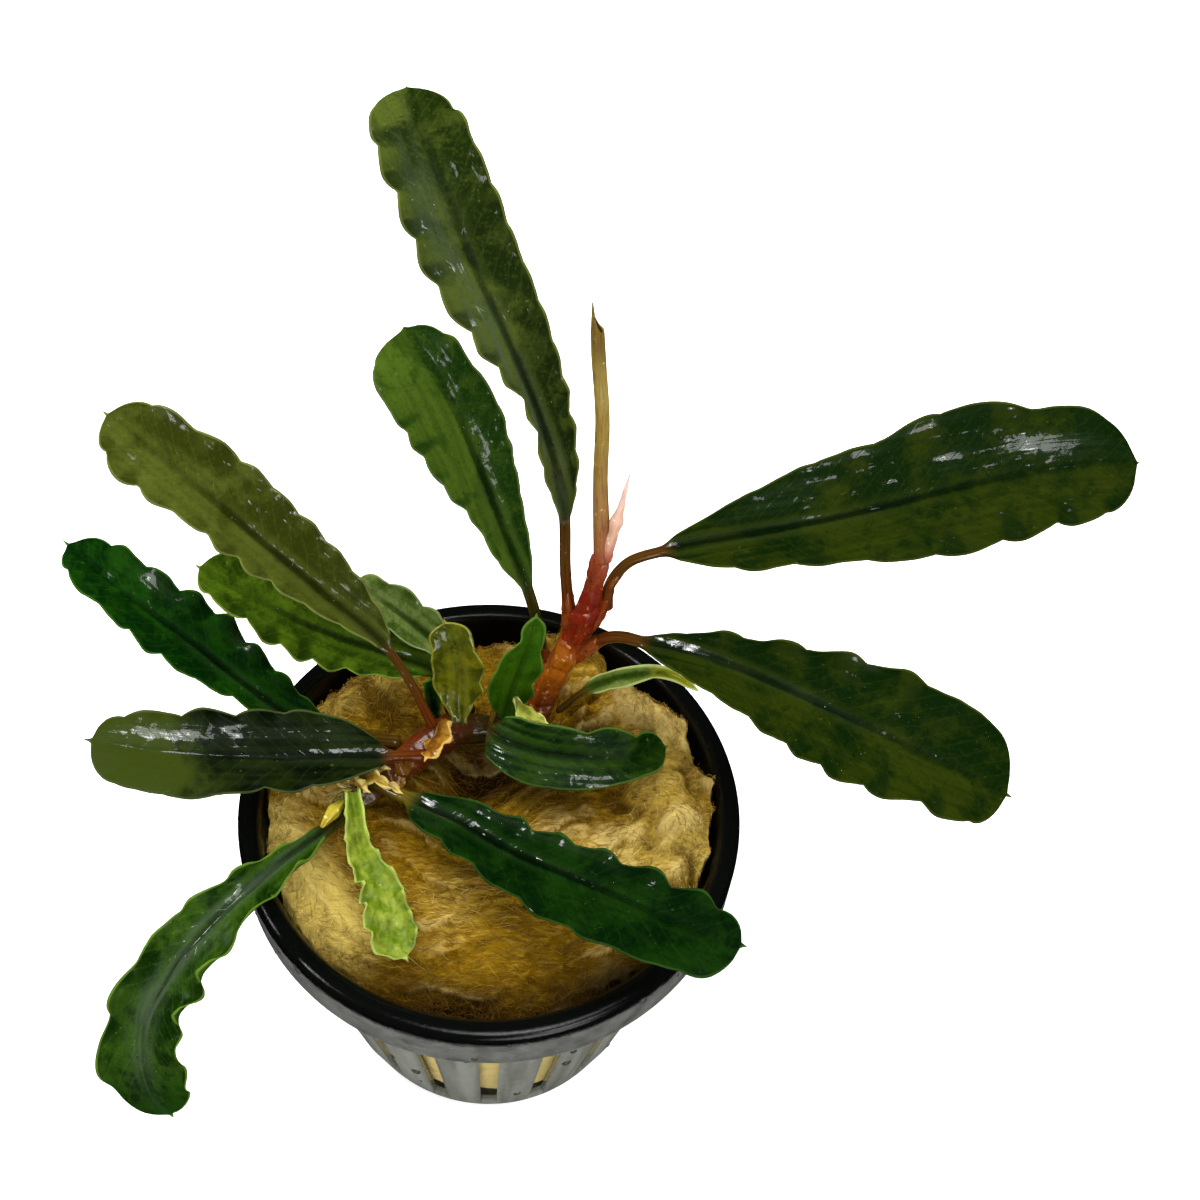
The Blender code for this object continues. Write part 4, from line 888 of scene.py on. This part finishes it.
def strands(paths, radius, tone):
    """Thin three-sided hairs along many paths (strands, points, 3), tapering at both ends."""
    count, length = paths.shape[:2]
    tangents = unit(np.gradient(paths, axis=1))
    side = unit(np.cross(tangents, (0.13, 0.21, 1.0)))
    other = np.cross(tangents, side)
    turn = np.arange(3) * 2 * math.pi / 3
    taper = 0.25 + 0.75 * np.sin(np.linspace(0, math.pi, length)) ** 0.5
    radius = np.asarray(radius).reshape(-1, 1, 1, 1) * taper[None, :, None, None]
    rings = paths[:, :, None] + radius * (np.cos(turn)[:, None] * side[:, :, None]
                                          + np.sin(turn)[:, None] * other[:, :, None])
    index = np.arange(count * length * 3).reshape(count, length, 3)
    ends = np.concatenate([index[:, 0], index[:, -1, ::-1]])
    return outward(Shape(rings.reshape(-1, 3), bands(index), ends,
                         {"tone": np.repeat(tone, length * 3)}))


def beads(spots, normals, radii, flatness, rows=7, sides=12):
    """Droplets that sit half sunk on a surface."""
    tilt = np.linspace(0, math.pi, rows + 2)[1:-1, None]
    turn = np.linspace(0, 2 * math.pi, sides, endpoint=False)
    ball = np.stack([np.sin(tilt) * np.cos(turn), np.sin(tilt) * np.sin(turn),
                     np.cos(tilt) * np.ones(sides)], axis=-1)
    one = loft(ball, start=np.array((0, 0, 1.0)), end=np.array((0, 0, -1.0)))
    shapes = []
    for spot, normal, radius in zip(spots, normals, radii):
        along = unit(np.cross(normal, (0.3, 0.9, 0.1)))
        turned = np.stack([along, np.cross(normal, along), normal * flatness])
        shapes.append(Shape(spot + radius * one.points @ turned, one.quads, one.triangles, {}))
    return joined(shapes)


# ---- wool

# Rises and dips of the wool: x, y, spread and height
WOOL_LUMPS = ((19.0, 0.5, 5.0, 3.0), (20.6, -8.0, 4.0, 2.0), (16.7, 14.0, 4.5, 2.5),
    (8.1, 22.0, 5.0, 4.0), (-14.3, 14.0, 5.5, 3.0), (-20.4, -8.0, 5.0, 1.5), (1.5, -10.0, 8.0, 1.5),
    (-9.1, -22.0, 7.0, -3.0), (6.9, -22.0, 7.0, -3.0), (-1.9, 2.0, 3.0, -3.0),
    (4.2, 5.0, 3.0, -2.5), (6.0, 10.5, 3.0, -3.4))


def wall_radius(z):
    """Outside radius of the pot's wall at a height."""
    return BASE_RADIUS + (WALL_TOP_RADIUS - BASE_RADIUS) / (POT_HEIGHT - SKIRT_HEIGHT) * z


# The wool's upper edge: an angle in degrees, its radius and how far it has fallen
WOOL_EDGE = ((-180, 24.8, 1.8), (-158, 24.8, 2.2), (-137, 24.8, 3.4), (-112, 24.2, 4.4),
    (-90, 24.0, 5.0), (-69, 24.2, 4.6), (-49, 24.5, 3.8), (-30, 24.5, 2.8), (-15, 24.8, 1.8),
    (-4, 25.0, 1.2), (6, 24.8, 1.0), (13, 23.7, 1.2), (22, 24.6, 1.0), (29, 24.4, 1.2),
    (36, 22.0, 2.4), (46, 21.9, 2.0), (58, 24.2, 1.2), (70, 22.8, 0.4), (82, 20.6, 0.2),
    (100, 21.2, 0.8), (120, 22.4, 1.6), (140, 23.4, 1.8), (160, 24.4, 1.8), (180, 24.8, 1.8))


def wool_edge(angle):
    """Radius and fall of the wool's upper edge at the angles, with its soft bulges."""
    degrees = (np.degrees(angle) + 180) % 360 - 180
    known, radius, drop = np.array(WOOL_EDGE).T
    around = level(np.cos(angle), np.sin(angle)) * 24
    lobes = 0.45 - np.abs(noise(around, 2.6, 40))
    return (np.interp(degrees, known, radius) + 0.9 * lobes + 0.2 * noise(around, 0.9, 41),
            np.interp(degrees, known, drop))


# Regions of the wool: x, y, spread and strength. The first table holds paler wool, in places with
# painted highlights; the second holds painted shade in the crevices by the rhizomes and along the
# front edge under the rim.
LIGHT_AND_LIT_WOOL = ((-20.5, -9.5, 4.5, 1.0), (-24.5, -3.0, 3.5, 1.0), (-16.5, -14.0, 3.5, 0.9),
    (-14.0, -17.5, 3.0, 0.6), (19.0, 1.0, 6.0, 0.45), (22.5, -7.5, 5.0, 0.5),
    (17.0, 14.0, 5.5, 0.4), (23.0, 8.0, 4.0, 0.5), (8.0, 22.0, 6.0, 0.3), (-12.0, 16.0, 5.0, 0.5),
    (-18.0, 12.0, 3.0, 0.45), (-4.0, -13.0, 5.0, 0.4), (14.0, -9.0, 5.0, 0.45))
SHADED_WOOL = ((-1.0, -25.0, 5.0, 1.0), (-9.0, -24.5, 4.5, 1.0), (8.0, -24.5, 4.5, 1.0),
    (15.0, -20.5, 4.0, 0.8), (-16.5, -20.0, 3.0, 0.8), (-2.5, 3.0, 4.0, 1.0), (2.0, 5.5, 3.5, 0.9),
    (6.5, 8.5, 3.5, 0.9), (-9.0, 9.0, 4.5, 0.5), (12.0, 8.5, 3.0, 0.7), (-9.5, -1.0, 3.0, 0.7))
FLUFFY_WOOL = ((19.0, 2.0, 9.0, 1.0), (15.0, 16.0, 7.0, 0.9), (-15.0, 13.0, 7.0, 1.0),
    (-22.0, -8.0, 4.0, 0.6), (7.0, 22.0, 6.0, 0.7), (21.0, -8.0, 6.0, 0.8))


def heaped(total, patches, x, y):
    """The total with each patch's strength added around its place."""
    for at_x, at_y, spread, strength in patches:
        away = ((x - at_x) ** 2 + (y - at_y) ** 2) / spread ** 2
        total = total + strength * np.exp(-away)
    return total


def patchy(patches, x, y):
    return np.clip(heaped(0 * x, patches, x, y), 0, 1)


def wool_relief(x, y):
    """Torn layers in arcs, billows and small tufts of the wool's upper face."""
    flat = level(x, y)
    bent = flat + level(noise(flat, 8.0, 50), noise(flat, 8.0, 51)) * 1.8
    across, along = bent[..., 0] - LAYER_CENTRE[0], bent[..., 1] - LAYER_CENTRE[1]
    radius = np.hypot(along, across)
    layers = level(np.arctan2(along, across) * 24, radius)
    streaks = noise(layers, (6.0, 1.1, 1.0), 52) + 0.7 * noise(layers, (2.6, 0.5, 1.0), 53)
    torn = (radius + 1.5 * noise(layers, (7.0, 9.0, 1.0), 59) + 0.4 * noise(bent, 1.3, 60)) / 3.1
    shelf = (torn - np.floor(torn)) ** 1.6
    fluffy = patchy(FLUFFY_WOOL, x, y)
    billows = 1.2 * np.abs(noise(bent, 5.2, 54)) + 0.6 * np.abs(noise(bent, 2.4, 58)) - 0.6
    fine = noise(flat, 0.8, 56) + 0.5 * noise(flat, 0.4, 57)
    return (0.5 * noise(flat, 6.0, 55) + 0.22 * (1 - 0.6 * fluffy) * streaks
        + 0.95 * (1 - fluffy) * (shelf - 0.4) + (0.6 + 2.2 * fluffy) * billows
        + (0.09 + 0.07 * fluffy) * fine)


def wool_height(x, y):
    """Height of the wool's upper face, before it falls off at the edge."""
    return heaped(WOOL_TOP + 0 * x, WOOL_LUMPS, x, y) + wool_relief(x, y)


def wool_drop(x, y):
    edge, drop = wool_edge(np.arctan2(y, x))
    share = np.clip(np.hypot(x, y) / edge, 0, 1.05)
    return drop * (0.35 * share ** 5 + 0.65 * share ** 16)


def wool_shape():
    """The plug: its upper face in fine rings, then its side down to the pot's floor."""
    angle = np.linspace(0, 2 * math.pi, WOOL_SECTORS, endpoint=False)
    outline = wool_edge(angle)[0]
    ways = np.stack([np.cos(angle), np.sin(angle)], axis=1)
    rings, lights, wool_shades, hollows = [], [], [], []
    for share in np.linspace(0.01, 1, WOOL_RINGS) ** 0.85:
        x, y = outline * share * ways.T
        z = wool_height(x, y) - wool_drop(x, y)
        rings.append(np.stack([x, y, z], axis=1))
        hollows.append(wool_relief(x, y))
        lights.append(patchy(LIGHT_AND_LIT_WOOL, x, y))
        wool_shades.append(patchy(SHADED_WOOL, x, y))
    edge, light, dark = rings[-1][:, 2], lights[-1], wool_shades[-1]
    for down in np.concatenate([np.linspace(0.98, 0.80, 9), np.linspace(0.76, 0.0, 30)]):
        height = 1.6 + (edge - 1.6) * down
        inside = wall_radius(height) - WALL - 0.1
        gap = step_between(39.9, 42.3, height)
        spot = np.stack([ways[:, 0] * 20, ways[:, 1] * 20, height], axis=1)
        tuft = noise(spot, 2.5, 60) + 0.5 * noise(spot, 1.0, 61)
        radius = inside * (1 - gap) + (outline + 0.35 * noise(spot, 1.6, 63)) * gap
        hollow = 3.0 * (1 - step_between(1.8, 4.2, height + 1.2 * noise(spot, 5.0, 62)))
        pressed = step_between(33.0, 36.5, height)
        radius = (radius - 0.22 + 0.2 * np.clip(tuft, -1.5, 0.9) - hollow
                  + 0.55 * pressed * (1 - gap))
        radius = np.minimum(radius, inside + 1.2 * gap + 0.45 * pressed * (1 - gap))
        rings.append(np.stack([radius * ways[:, 0], radius * ways[:, 1], height], axis=1))
        hollows.append(0.5 * tuft)
        lights.append(light * gap + 0.9 * (1 - gap))
        # painted shade on the wool's side in the gap below the rim, except just under its lit edge
        shaded = step_between(37.0, 38.5, height)
        wool_shades.append(shaded * (1 - step_between(3.0, 0.6, edge - height) * (1 - dark)))
    return loft(np.array(rings), {"relief": np.array(hollows), "light": np.array(lights),
                                  "dark": np.array(wool_shades)})


def wool_fibres(count, seed, length_range, spread, rise, radius, edge_only=False):
    """Loose fibres that follow the wool's layers and arch a little above them."""
    random = np.random.default_rng(seed)
    angle = random.uniform(0, 2 * math.pi, count)
    if edge_only:
        away = wool_edge(angle)[0] - random.uniform(0.0, 2.0, count)
    else:
        away = 24.0 * np.sqrt(random.uniform(0, 1, count))
    x, y = away * np.cos(angle), away * np.sin(angle)
    fluffy = patchy(FLUFFY_WOOL, x, y)
    way = (np.arctan2(y - LAYER_CENTRE[1], x - LAYER_CENTRE[0]) + math.pi / 2
           + random.normal(0, 1, count) * (spread + 1.1 * fluffy))
    length = random.uniform(*length_range, count) * (1 - 0.45 * fluffy)
    bend = random.normal(0, 0.12, count)
    points = 5
    xs, ys = [x], [y]
    for _ in range(points - 1):
        way = way + bend * length / points + random.normal(0, 0.10, count)
        xs.append(xs[-1] + np.cos(way) * length / (points - 1))
        ys.append(ys[-1] + np.sin(way) * length / (points - 1))
    xs, ys = np.array(xs).T, np.array(ys).T
    edge = wool_edge(np.arctan2(ys, xs))[0]
    limit = np.minimum(1, (edge + 0.1) / np.maximum(np.hypot(xs, ys), 1e-6))
    xs, ys = xs * limit, ys * limit
    arch = np.sin(np.linspace(0, math.pi, points))[None]
    lift = random.uniform(0.0, rise, count)[:, None] * arch
    wobble = random.normal(0, 0.05, (count, points))
    zs = wool_height(xs, ys) - wool_drop(xs, ys) + lift + wobble - 0.03
    # the fibres share the wool's paler places, painted highlights and painted shade
    tone = (random.uniform(0, 0.75, count) + 0.5 * patchy(LIGHT_AND_LIT_WOOL, x, y)
            - 0.5 * patchy(SHADED_WOOL, x, y))
    return strands(np.stack([xs, ys, zs], axis=-1), random.uniform(*radius, count),
                   np.clip(tone, 0, 1))


def wool_material():
    paint = Paint("rockwool")
    broad = paint.noise(5.0, 3.0)
    stretched = paint.add("Mapping", {0: paint.place, 3: (0.45, 2.0, 1.0)})
    fibres = paint.noise(1 / 1100, 4.0, 0.7, stretched, 1.2)
    # the light mask is paler wool with painted highlights in places; the dark mask is painted shade
    light = paint.mask("light") + (fibres - 0.5) * 0.7
    dark = paint.mask("dark") + (broad - 0.5) * 0.9
    # painted light and shade: high relief gets painted highlights, low relief painted shade in the
    # creases
    relief = paint.mask("relief")
    colour = washed(broad.ease(0.35, 0.65).mix((96, 66, 2), (122, 90, 4)),
        (light, 0.1, 1.0, 1.0, (186, 164, 82)), (fibres, 0.46, 0.66, 0.45, (166, 138, 52)),
        (fibres, 0.46, 0.30, 0.6, (64, 40, 1)), (dark, 0.1, 0.95, 1.0, (28, 15, 1)),
        (relief, 0.3, 1.5, 0.45, (210, 186, 116)), (relief, -0.3, -1.3, 0.8, (58, 36, 1)),
        (paint.axis(2), 0.0385, 0.0365, 0.7, (170, 154, 106)))
    normal = paint.bumps((fibres, 0.25, 0.7), (paint.noise(0.35, 3.0, 0.7), 0.12, 0.7))
    return paint.finish(colour, 0.85, Normal=normal, Specular_IOR_Level=0.02)


def fibre_material(name, dark, light, pale):
    paint = Paint(name)
    tone = paint.mask("tone")
    colour = washed(tone.ease(0.0, 0.6).mix(dark, light), (tone, 0.6, 1.0, 1.0, pale),
                    (paint.noise(3.0), 0.4, 0.6, 0.35, dark))
    return paint.finish(colour, 0.5, Specular_IOR_Level=0.3)


# ---- pot

def rounded(profile, radius, steps=4):
    """The profile with its inner corners rounded."""
    made = [profile[0]]
    for before, corner, after in zip(profile, profile[1:], profile[2:]):
        before, corner, after = (np.array(p, float) for p in (before, corner, after))
        back, ahead = before - corner, after - corner
        reach = min(radius, 0.45 * np.linalg.norm(back), 0.45 * np.linalg.norm(ahead))
        start, end = corner + reach * unit(back), corner + reach * unit(ahead)
        for u in np.linspace(0, 1, steps + 1):
            made.append(tuple((1 - u) ** 2 * start + 2 * u * (1 - u) * corner + u ** 2 * end))
    return made + [profile[-1]]


def pot_mesh():
    """The net pot as a slotted sheet with rounded folds, given its thickness."""
    middle = WALL / 2
    top = POT_HEIGHT - middle
    floor = [(FLOOR_DISC_RADIUS, middle), (FLOOR_SLOT_END, middle)]
    heel = rounded([(FLOOR_SLOT_END + 0.5, middle), (BASE_RADIUS - middle, middle),
                    (wall_radius(SLOT_FOOT) - middle, SLOT_FOOT)], 0.9)
    wall = [(wall_radius(z) - middle, z) for z in np.linspace(SLOT_FOOT, SLOT_HEAD, 8)]
    lip = rounded([(wall_radius(40.5) - middle, 40.5), (wall_radius(top) - middle, top),
        (RIM_RADIUS - middle, top), (RIM_RADIUS - middle, POT_HEIGHT - SKIRT_HEIGHT)], 0.9, 6)
    profile = floor + heel + wall[1:] + lip
    slotted = {0} | set(range(len(floor) + len(heel) - 1, len(floor) + len(heel) + len(wall) - 2))

    pitch = 2 * math.pi / SLOT_COUNT
    open_half = pitch * SLOT_SHARE / 2
    slot_steps, rib_steps = 4, 8
    angles, ribbed = [], []
    for slot in range(SLOT_COUNT):
        middle_angle = -math.pi / 2 + slot * pitch
        for i in range(slot_steps):
            angles.append(middle_angle + open_half * (2 * i / slot_steps - 1))
            ribbed.append(0.0)
        for i in range(rib_steps):
            share = i / rib_steps
            angles.append(middle_angle + open_half + (pitch - 2 * open_half) * share)
            ribbed.append(1 - (2 * share - 1) ** 4)
    sheet = bmesh.new()
    rows = []
    for r, z in profile:
        bulge = 0.35 * float(step_between(3.0, 6.0, z) * (1 - step_between(36.0, 38.5, z)))
        rows.append([sheet.verts.new(Vector(((r + bulge * rib) * math.cos(a),
                                             (r + bulge * rib) * math.sin(a), z)) * MM)
                     for a, rib in zip(angles, ribbed)])
    centre = sheet.verts.new(Vector((0, 0, middle)) * MM)
    for i in range(len(angles)):
        j = (i + 1) % len(angles)
        sheet.faces.new((centre, rows[0][i], rows[0][j]))
        for leg in range(len(profile) - 1):
            if leg in slotted and i % (slot_steps + rib_steps) < slot_steps:
                continue
            sheet.faces.new((rows[leg][i], rows[leg + 1][i], rows[leg + 1][j], rows[leg][j]))
    bmesh.ops.recalc_face_normals(sheet, faces=sheet.faces)
    mesh = bpy.data.meshes.new("net_pot_looks")
    sheet.to_mesh(mesh)
    sheet.free()
    draft = bpy.data.objects.new("pot_draft", mesh)
    bpy.context.scene.collection.objects.link(draft)
    thickness = draft.modifiers.new("thickness", "SOLIDIFY")
    thickness.thickness = WALL * MM
    thickness.offset = 0.0
    thickness.use_even_offset = True
    edges = draft.modifiers.new("soft edges", "BEVEL")
    edges.width = 0.22 * MM
    edges.segments = 2
    edges.limit_method = "ANGLE"
    edges.angle_limit = math.radians(50)
    bpy.context.view_layer.update()
    folded = draft.evaluated_get(bpy.context.evaluated_depsgraph_get())
    finished = bpy.data.meshes.new_from_object(folded)
    bpy.data.objects.remove(draft)
    finished.shade_smooth()
    finished.set_sharp_from_angle(angle=math.radians(42))
    return finished


def pot_material():
    """Black plastic: glossy and wet over the lip, grey with dust and fine specks below it, and
    darker towards the back as painted shade.
    """
    paint = Paint("net_pot")
    x, y, z = (paint.axis(number) for number in range(3))
    height = z + (paint.noise(1.2, 4.0, 0.7) - 0.5) * 0.0012
    # painted shade: the pot is darker towards the back, on the ribs and where the grey skirt gives
    # way to black
    painted_front_light = y.ease(0.004, -0.018, 0.15, 1.0)
    uneven = paint.noise(2.5, 5.0, 0.65).ease(0.30, 0.62, 0.6, 1.0)
    dust_and_front_light = paint.mask("outside") * (painted_front_light * uneven) * height.ease(0.0440, 0.0428)
    specks = paint.noise(0.35, 3.0, 0.7).ease(0.56, 0.70) * 0.6
    skirt = paint.noise(3.0, 4.0, 0.7).mix((80, 81, 77), (106, 107, 101))
    skirt = specks.mix(skirt, (128, 130, 124))
    down = paint.vector(y.math("ARCTAN2", x) * 24.0, 0.0, z * 60.0)
    ribs = paint.noise(1.8, 2.0, 0.55, down).ease(0.30, 0.70).mix((96, 98, 90), (120, 122, 112))
    ribs = painted_front_light.mix((62, 63, 58), ribs)
    colour = height.ease(0.0386, 0.0382).mix(dust_and_front_light.mix((5, 6, 5), skirt), ribs)
    normal = paint.bumps((paint.noise(0.5, 4.0, 0.7), 0.05, 0.6))
    return paint.finish(colour, dust_and_front_light * 0.3 + 0.14, Normal=normal, Specular_IOR_Level=0.3)


# ---- stage

def stage():
    """A plain pale floor, soft studio light and the camera."""
    floor_mesh = bpy.data.meshes.new("floor")
    floor_mesh.from_pydata([(-6, -6, 0), (6, -6, 0), (6, 6, 0), (-6, 6, 0)], [], [(0, 1, 2, 3)])
    paint = Paint("floor")
    pale = paint.noise(60.0).mix((0.93, 0.93, 0.93, 1), (0.95, 0.95, 0.95, 1))
    floor_mesh.materials.append(paint.finish(pale, 0.7, Emission_Color=(1.0, 1.0, 1.0, 1.0),
                                             Emission_Strength=0.35))
    floor = bpy.data.objects.new("floor", floor_mesh)
    bpy.context.scene.collection.objects.link(floor)
    floor.visible_glossy = False

    world = bpy.data.worlds.new("studio")
    world.use_nodes = True
    backdrop = world.node_tree.nodes["Background"]
    backdrop.inputs["Color"].default_value = (0.95, 0.97, 1.0, 1.0)
    backdrop.inputs["Strength"].default_value = 0.62
    world.cycles_visibility.glossy = False
    bpy.context.scene.world = world

    for name, at, size, watts, mirrored in LIGHTS:
        light = bpy.data.lights.new(name, "AREA")
        light.shape = "DISK"
        light.size = size
        light.energy = watts
        lamp = bpy.data.objects.new(name, light)
        lamp.location = at
        lamp.rotation_euler = (Vector(at) - Vector(LIT_POINT)).to_track_quat("Z", "Y").to_euler()
        lamp.visible_glossy = mirrored
        lamp.visible_diffuse = not mirrored
        bpy.context.scene.collection.objects.link(lamp)

    lens = bpy.data.cameras.new("camera")
    lens.lens = 42.0
    lens.sensor_width = 36.0
    lens.shift_x = 0.0927         # the photograph isn't centred on the pot
    lens.clip_start = 0.01
    camera = bpy.data.objects.new("camera", lens)
    forward, up = Vector(CAMERA_FORWARD), Vector(CAMERA_UP)
    turn = Matrix((forward.cross(up), up, -forward)).transposed().to_4x4()
    camera.matrix_world = Matrix.Translation(Vector(CAMERA_AT) * MM) @ turn
    bpy.context.scene.collection.objects.link(camera)
    bpy.context.scene.camera = camera
    bpy.context.scene.view_settings.view_transform = "Standard"
    bpy.context.scene.view_settings.look = "None"


def add_pot():
    mesh = pot_mesh()
    places = np.empty(len(mesh.vertices) * 3)
    mesh.vertices.foreach_get("co", places)
    x, y, z = (places.reshape(-1, 3) / MM).T
    radius = np.hypot(x, y)
    outside = (radius > wall_radius(z) - 0.6) | (radius > RIM_RADIUS - 1.2)
    set_mask(mesh, "outside", outside)
    place("pot", mesh, pot_material(), "pot_plastic", "net_pot")

    random = np.random.default_rng(7)
    spots, normals, radii = [], [], []
    for _ in range(SKIRT_DROPLETS):
        angle = random.uniform(0, 2 * math.pi)
        z = random.uniform(39.6, 43.6)
        way = np.array((math.cos(angle), math.sin(angle), 0.0))
        spots.append(way * RIM_RADIUS + (0, 0, z))
        normals.append(way)
        radii.append(random.uniform(0.15, 0.55))
    for _ in range(RIB_DROPLETS):
        slot = random.integers(0, SLOT_COUNT)
        angle = -math.pi / 2 + (slot + 0.5 + random.uniform(-0.22, 0.22)) * 2 * math.pi / SLOT_COUNT
        z = random.uniform(8, 37)
        way = np.array((math.cos(angle), math.sin(angle), 0.0))
        spots.append(way * (wall_radius(z) + 0.33) + (0, 0, z))
        normals.append(unit(way - np.array((0, 0, 0.17))))
        radii.append(random.uniform(0.2, 0.7))
    paint = Paint("water")
    dark = paint.noise(0.5).mix((0.02, 0.02, 0.02, 1), (0.06, 0.06, 0.055, 1))
    place("pot_droplets", beads(spots, normals, radii, 0.45), paint.finish(dark, 0.04),
          "pot_plastic")


def add_wool():
    place("wool", wool_shape(), wool_material(), "wool", "rockwool")
    material = fibre_material("wool_fibres", (90, 60, 2), (148, 114, 16), (220, 196, 116))
    for name, seed in (("wool_fibres_a", 11), ("wool_fibres_b", 14)):
        fine = wool_fibres(FINE_FIBRES, seed, (0.9, 3.2), 0.4, 0.3, (0.013, 0.030))
        place(name, fine, material, "wool")
    loose = [wool_fibres(LONG_FIBRES, 12, (3.0, 7.0), 0.7, 0.9, (0.02, 0.032)),
             wool_fibres(EDGE_FIBRES, 13, (0.8, 2.4), 1.4, 0.9, (0.012, 0.026), True)]
    place("wool_loose_fibres", joined(loose), material, "wool")


def add_stem(name, slot, node, body, colours, scar, *finish):
    """A stem in place of its solid, or beside the solids where it has none."""
    material = stem_material(node or name, colours, scar, *finish)
    place(name, body, material, slot, *([node] if node else []))


def add_stems():
    add_stem("rhizome_right_bark", "rhizome_red", "rhizome_right",
             tube(RIGHT_RHIZOME, (1.25, 1.5, 1.6, 1.5, 1.25, 1.0, 0.8), 64, 0.18,
                  bark((4.2, 9.0, 13.6, 19.5), 0.16, 0.8, 21)),
             ((104, 42, 6), (112, 46, 6), (140, 74, 10), (104, 20, 4), (100, 18, 5),
              (126, 52, 26)), (206, 150, 84))
    add_stem("stalk_feet", "rhizome_red", None,
             joined([tube(points, radii, 32, 0.2, bark((), 0.0, 1.0, 40 + i, 0.06))
                     for i, (points, radii) in enumerate(STALK_FEET)]),
             ((124, 42, 10), (116, 50, 12), (98, 62, 22)), (180, 120, 60))
    add_stem("rhizome_left_bark", "rhizome_brown", "rhizome_left",
             tube(LEFT_RHIZOME, (1.2, 1.7, 1.9, 2.0, 1.5, 1.0), 64, 0.2,
                  bark((2.0, 5.6, 9.4, 13.0), 0.2, 0.7, 31)),
             ((84, 60, 12), (70, 42, 8), (92, 34, 8), (66, 24, 6), (30, 20, 5), (24, 18, 5)),
             (130, 90, 38))
    add_stem("stalk_cut", "stalk_tan", "cut_petiole", quill(),
             ((132, 60, 30), (136, 98, 42), (136, 112, 44), (142, 122, 54), (104, 84, 20)),
             (178, 158, 96), (0.3, 0.5), 0.55)
    add_stem("bud_shoot", "bud_pink", "pink_bud",
             tube(BUD, (0.7, 0.5, 0.05), 24, 0.25,
                  lambda run, turn, spot: 0.1 * noise(spot, 1.2, 5)
                  + 0.2 * np.exp(-((run - 5.6) / 0.9) ** 2)),
             ((150, 62, 40), (206, 160, 132), (216, 176, 158), (226, 196, 180)),
             (236, 222, 208), (0.3, 0.45), 0.3)
    add_stem("sheath_yellow_skin", "sheath_yellow", "yellow_sheath",
             tube(YELLOW_SHEATH, (0.3, 0.62, 0.1), 36, 0.12,
                  lambda run, turn, spot: 0.2 * noise(spot, 0.9, 8)
                  + 0.12 * np.cos(4 * turn + 0.8 * run)),
             ((96, 100, 22), (150, 138, 34), (150, 126, 30)), (206, 196, 120))


def add_leaves():
    random = np.random.default_rng(3)
    spots, normals, radii = [], [], []
    for i, leaf in enumerate(LEAVES):
        shape, upper, upward = leaf_shape(leaf, 100 + 10 * i)
        place(leaf.name + "_blade", shape, leaf_material(leaf.name, leaf.look), leaf.slot,
              leaf.name)
        stations, columns = upper.shape[:2]
        for _ in range(stations // 16):
            row = random.integers(int(stations * 0.35), int(stations * 0.93))
            column = random.integers(2, columns - 2)
            spots.append(upper[row, column])
            normals.append(upward[row])
            radii.append(random.uniform(0.05, 0.16))
    for i, shred in enumerate(TORN):
        place(shred.name, leaf_shape(shred, 900 + 10 * i)[0],
              leaf_material(shred.name, shred.look), shred.slot)
    water = Paint("leaf_water").finish((1.0, 1.0, 1.0, 1.0), 0.02, Transmission_Weight=1.0,
                                       IOR=1.33)
    place("leaf_droplets", beads(spots, normals, radii, 0.55, 5, 10), water, "leaf_dark")


def add_frayed_sheath():
    """Straw-coloured shreds of old sheath and a lump of roots beside the left rhizome."""
    random = np.random.default_rng(17)
    count, points = 26, 7
    start = np.array((-14.9, -1.0, 48.6)) + random.normal(0, 0.45, (count, 3))
    way = unit(np.array((-0.85, -0.5, 0.12)) + random.normal(0, 0.25, (count, 3)))
    length = random.uniform(1.2, 3.4, count)
    along = np.linspace(0, 1, points)[None, :, None]
    paths = start[:, None] + along * (length[:, None] * way)[:, None]
    paths = paths + 0.25 * np.sin(along * 4 + random.uniform(0, 6, (count, 1, 3)))
    shreds = strands(paths, random.uniform(0.05, 0.16, count), random.uniform(0.5, 1, count))
    place("frayed_sheath", shreds, fibre_material("frayed_sheath", (110, 84, 20), (170, 146, 66),
        (206, 190, 126)), "sheath_yellow")
    spots = np.array(((-9.6, 1.5, 48.1), (-10.7, 0.9, 47.7), (-8.7, 2.0, 48.6),
                      (-10, 0.5, 47.3), (-11.8, 0.2, 47.6)))
    normals = np.array([(0.1, -0.5, 0.85)] * len(spots))
    lump = beads(spots, unit(normals), (0.95, 0.8, 0.7, 0.85, 0.6), 0.9, 14, 24)
    lumpy = lump.points + 0.4 * noise(lump.points, 0.9, 4)[:, None] * (0.3, -0.3, 0.9)
    masks = {"along": np.full(len(lumpy), 0.5), "run": lumpy[:, 0], "turn": lumpy[:, 1]}
    add_stem("root_lump", "rhizome_brown", None, lump._replace(points=lumpy, masks=masks),
             ((84, 54, 12), (116, 74, 18)), (170, 130, 70))


stage()
add_pot()
add_wool()
add_stems()
add_leaves()
add_frayed_sheath()
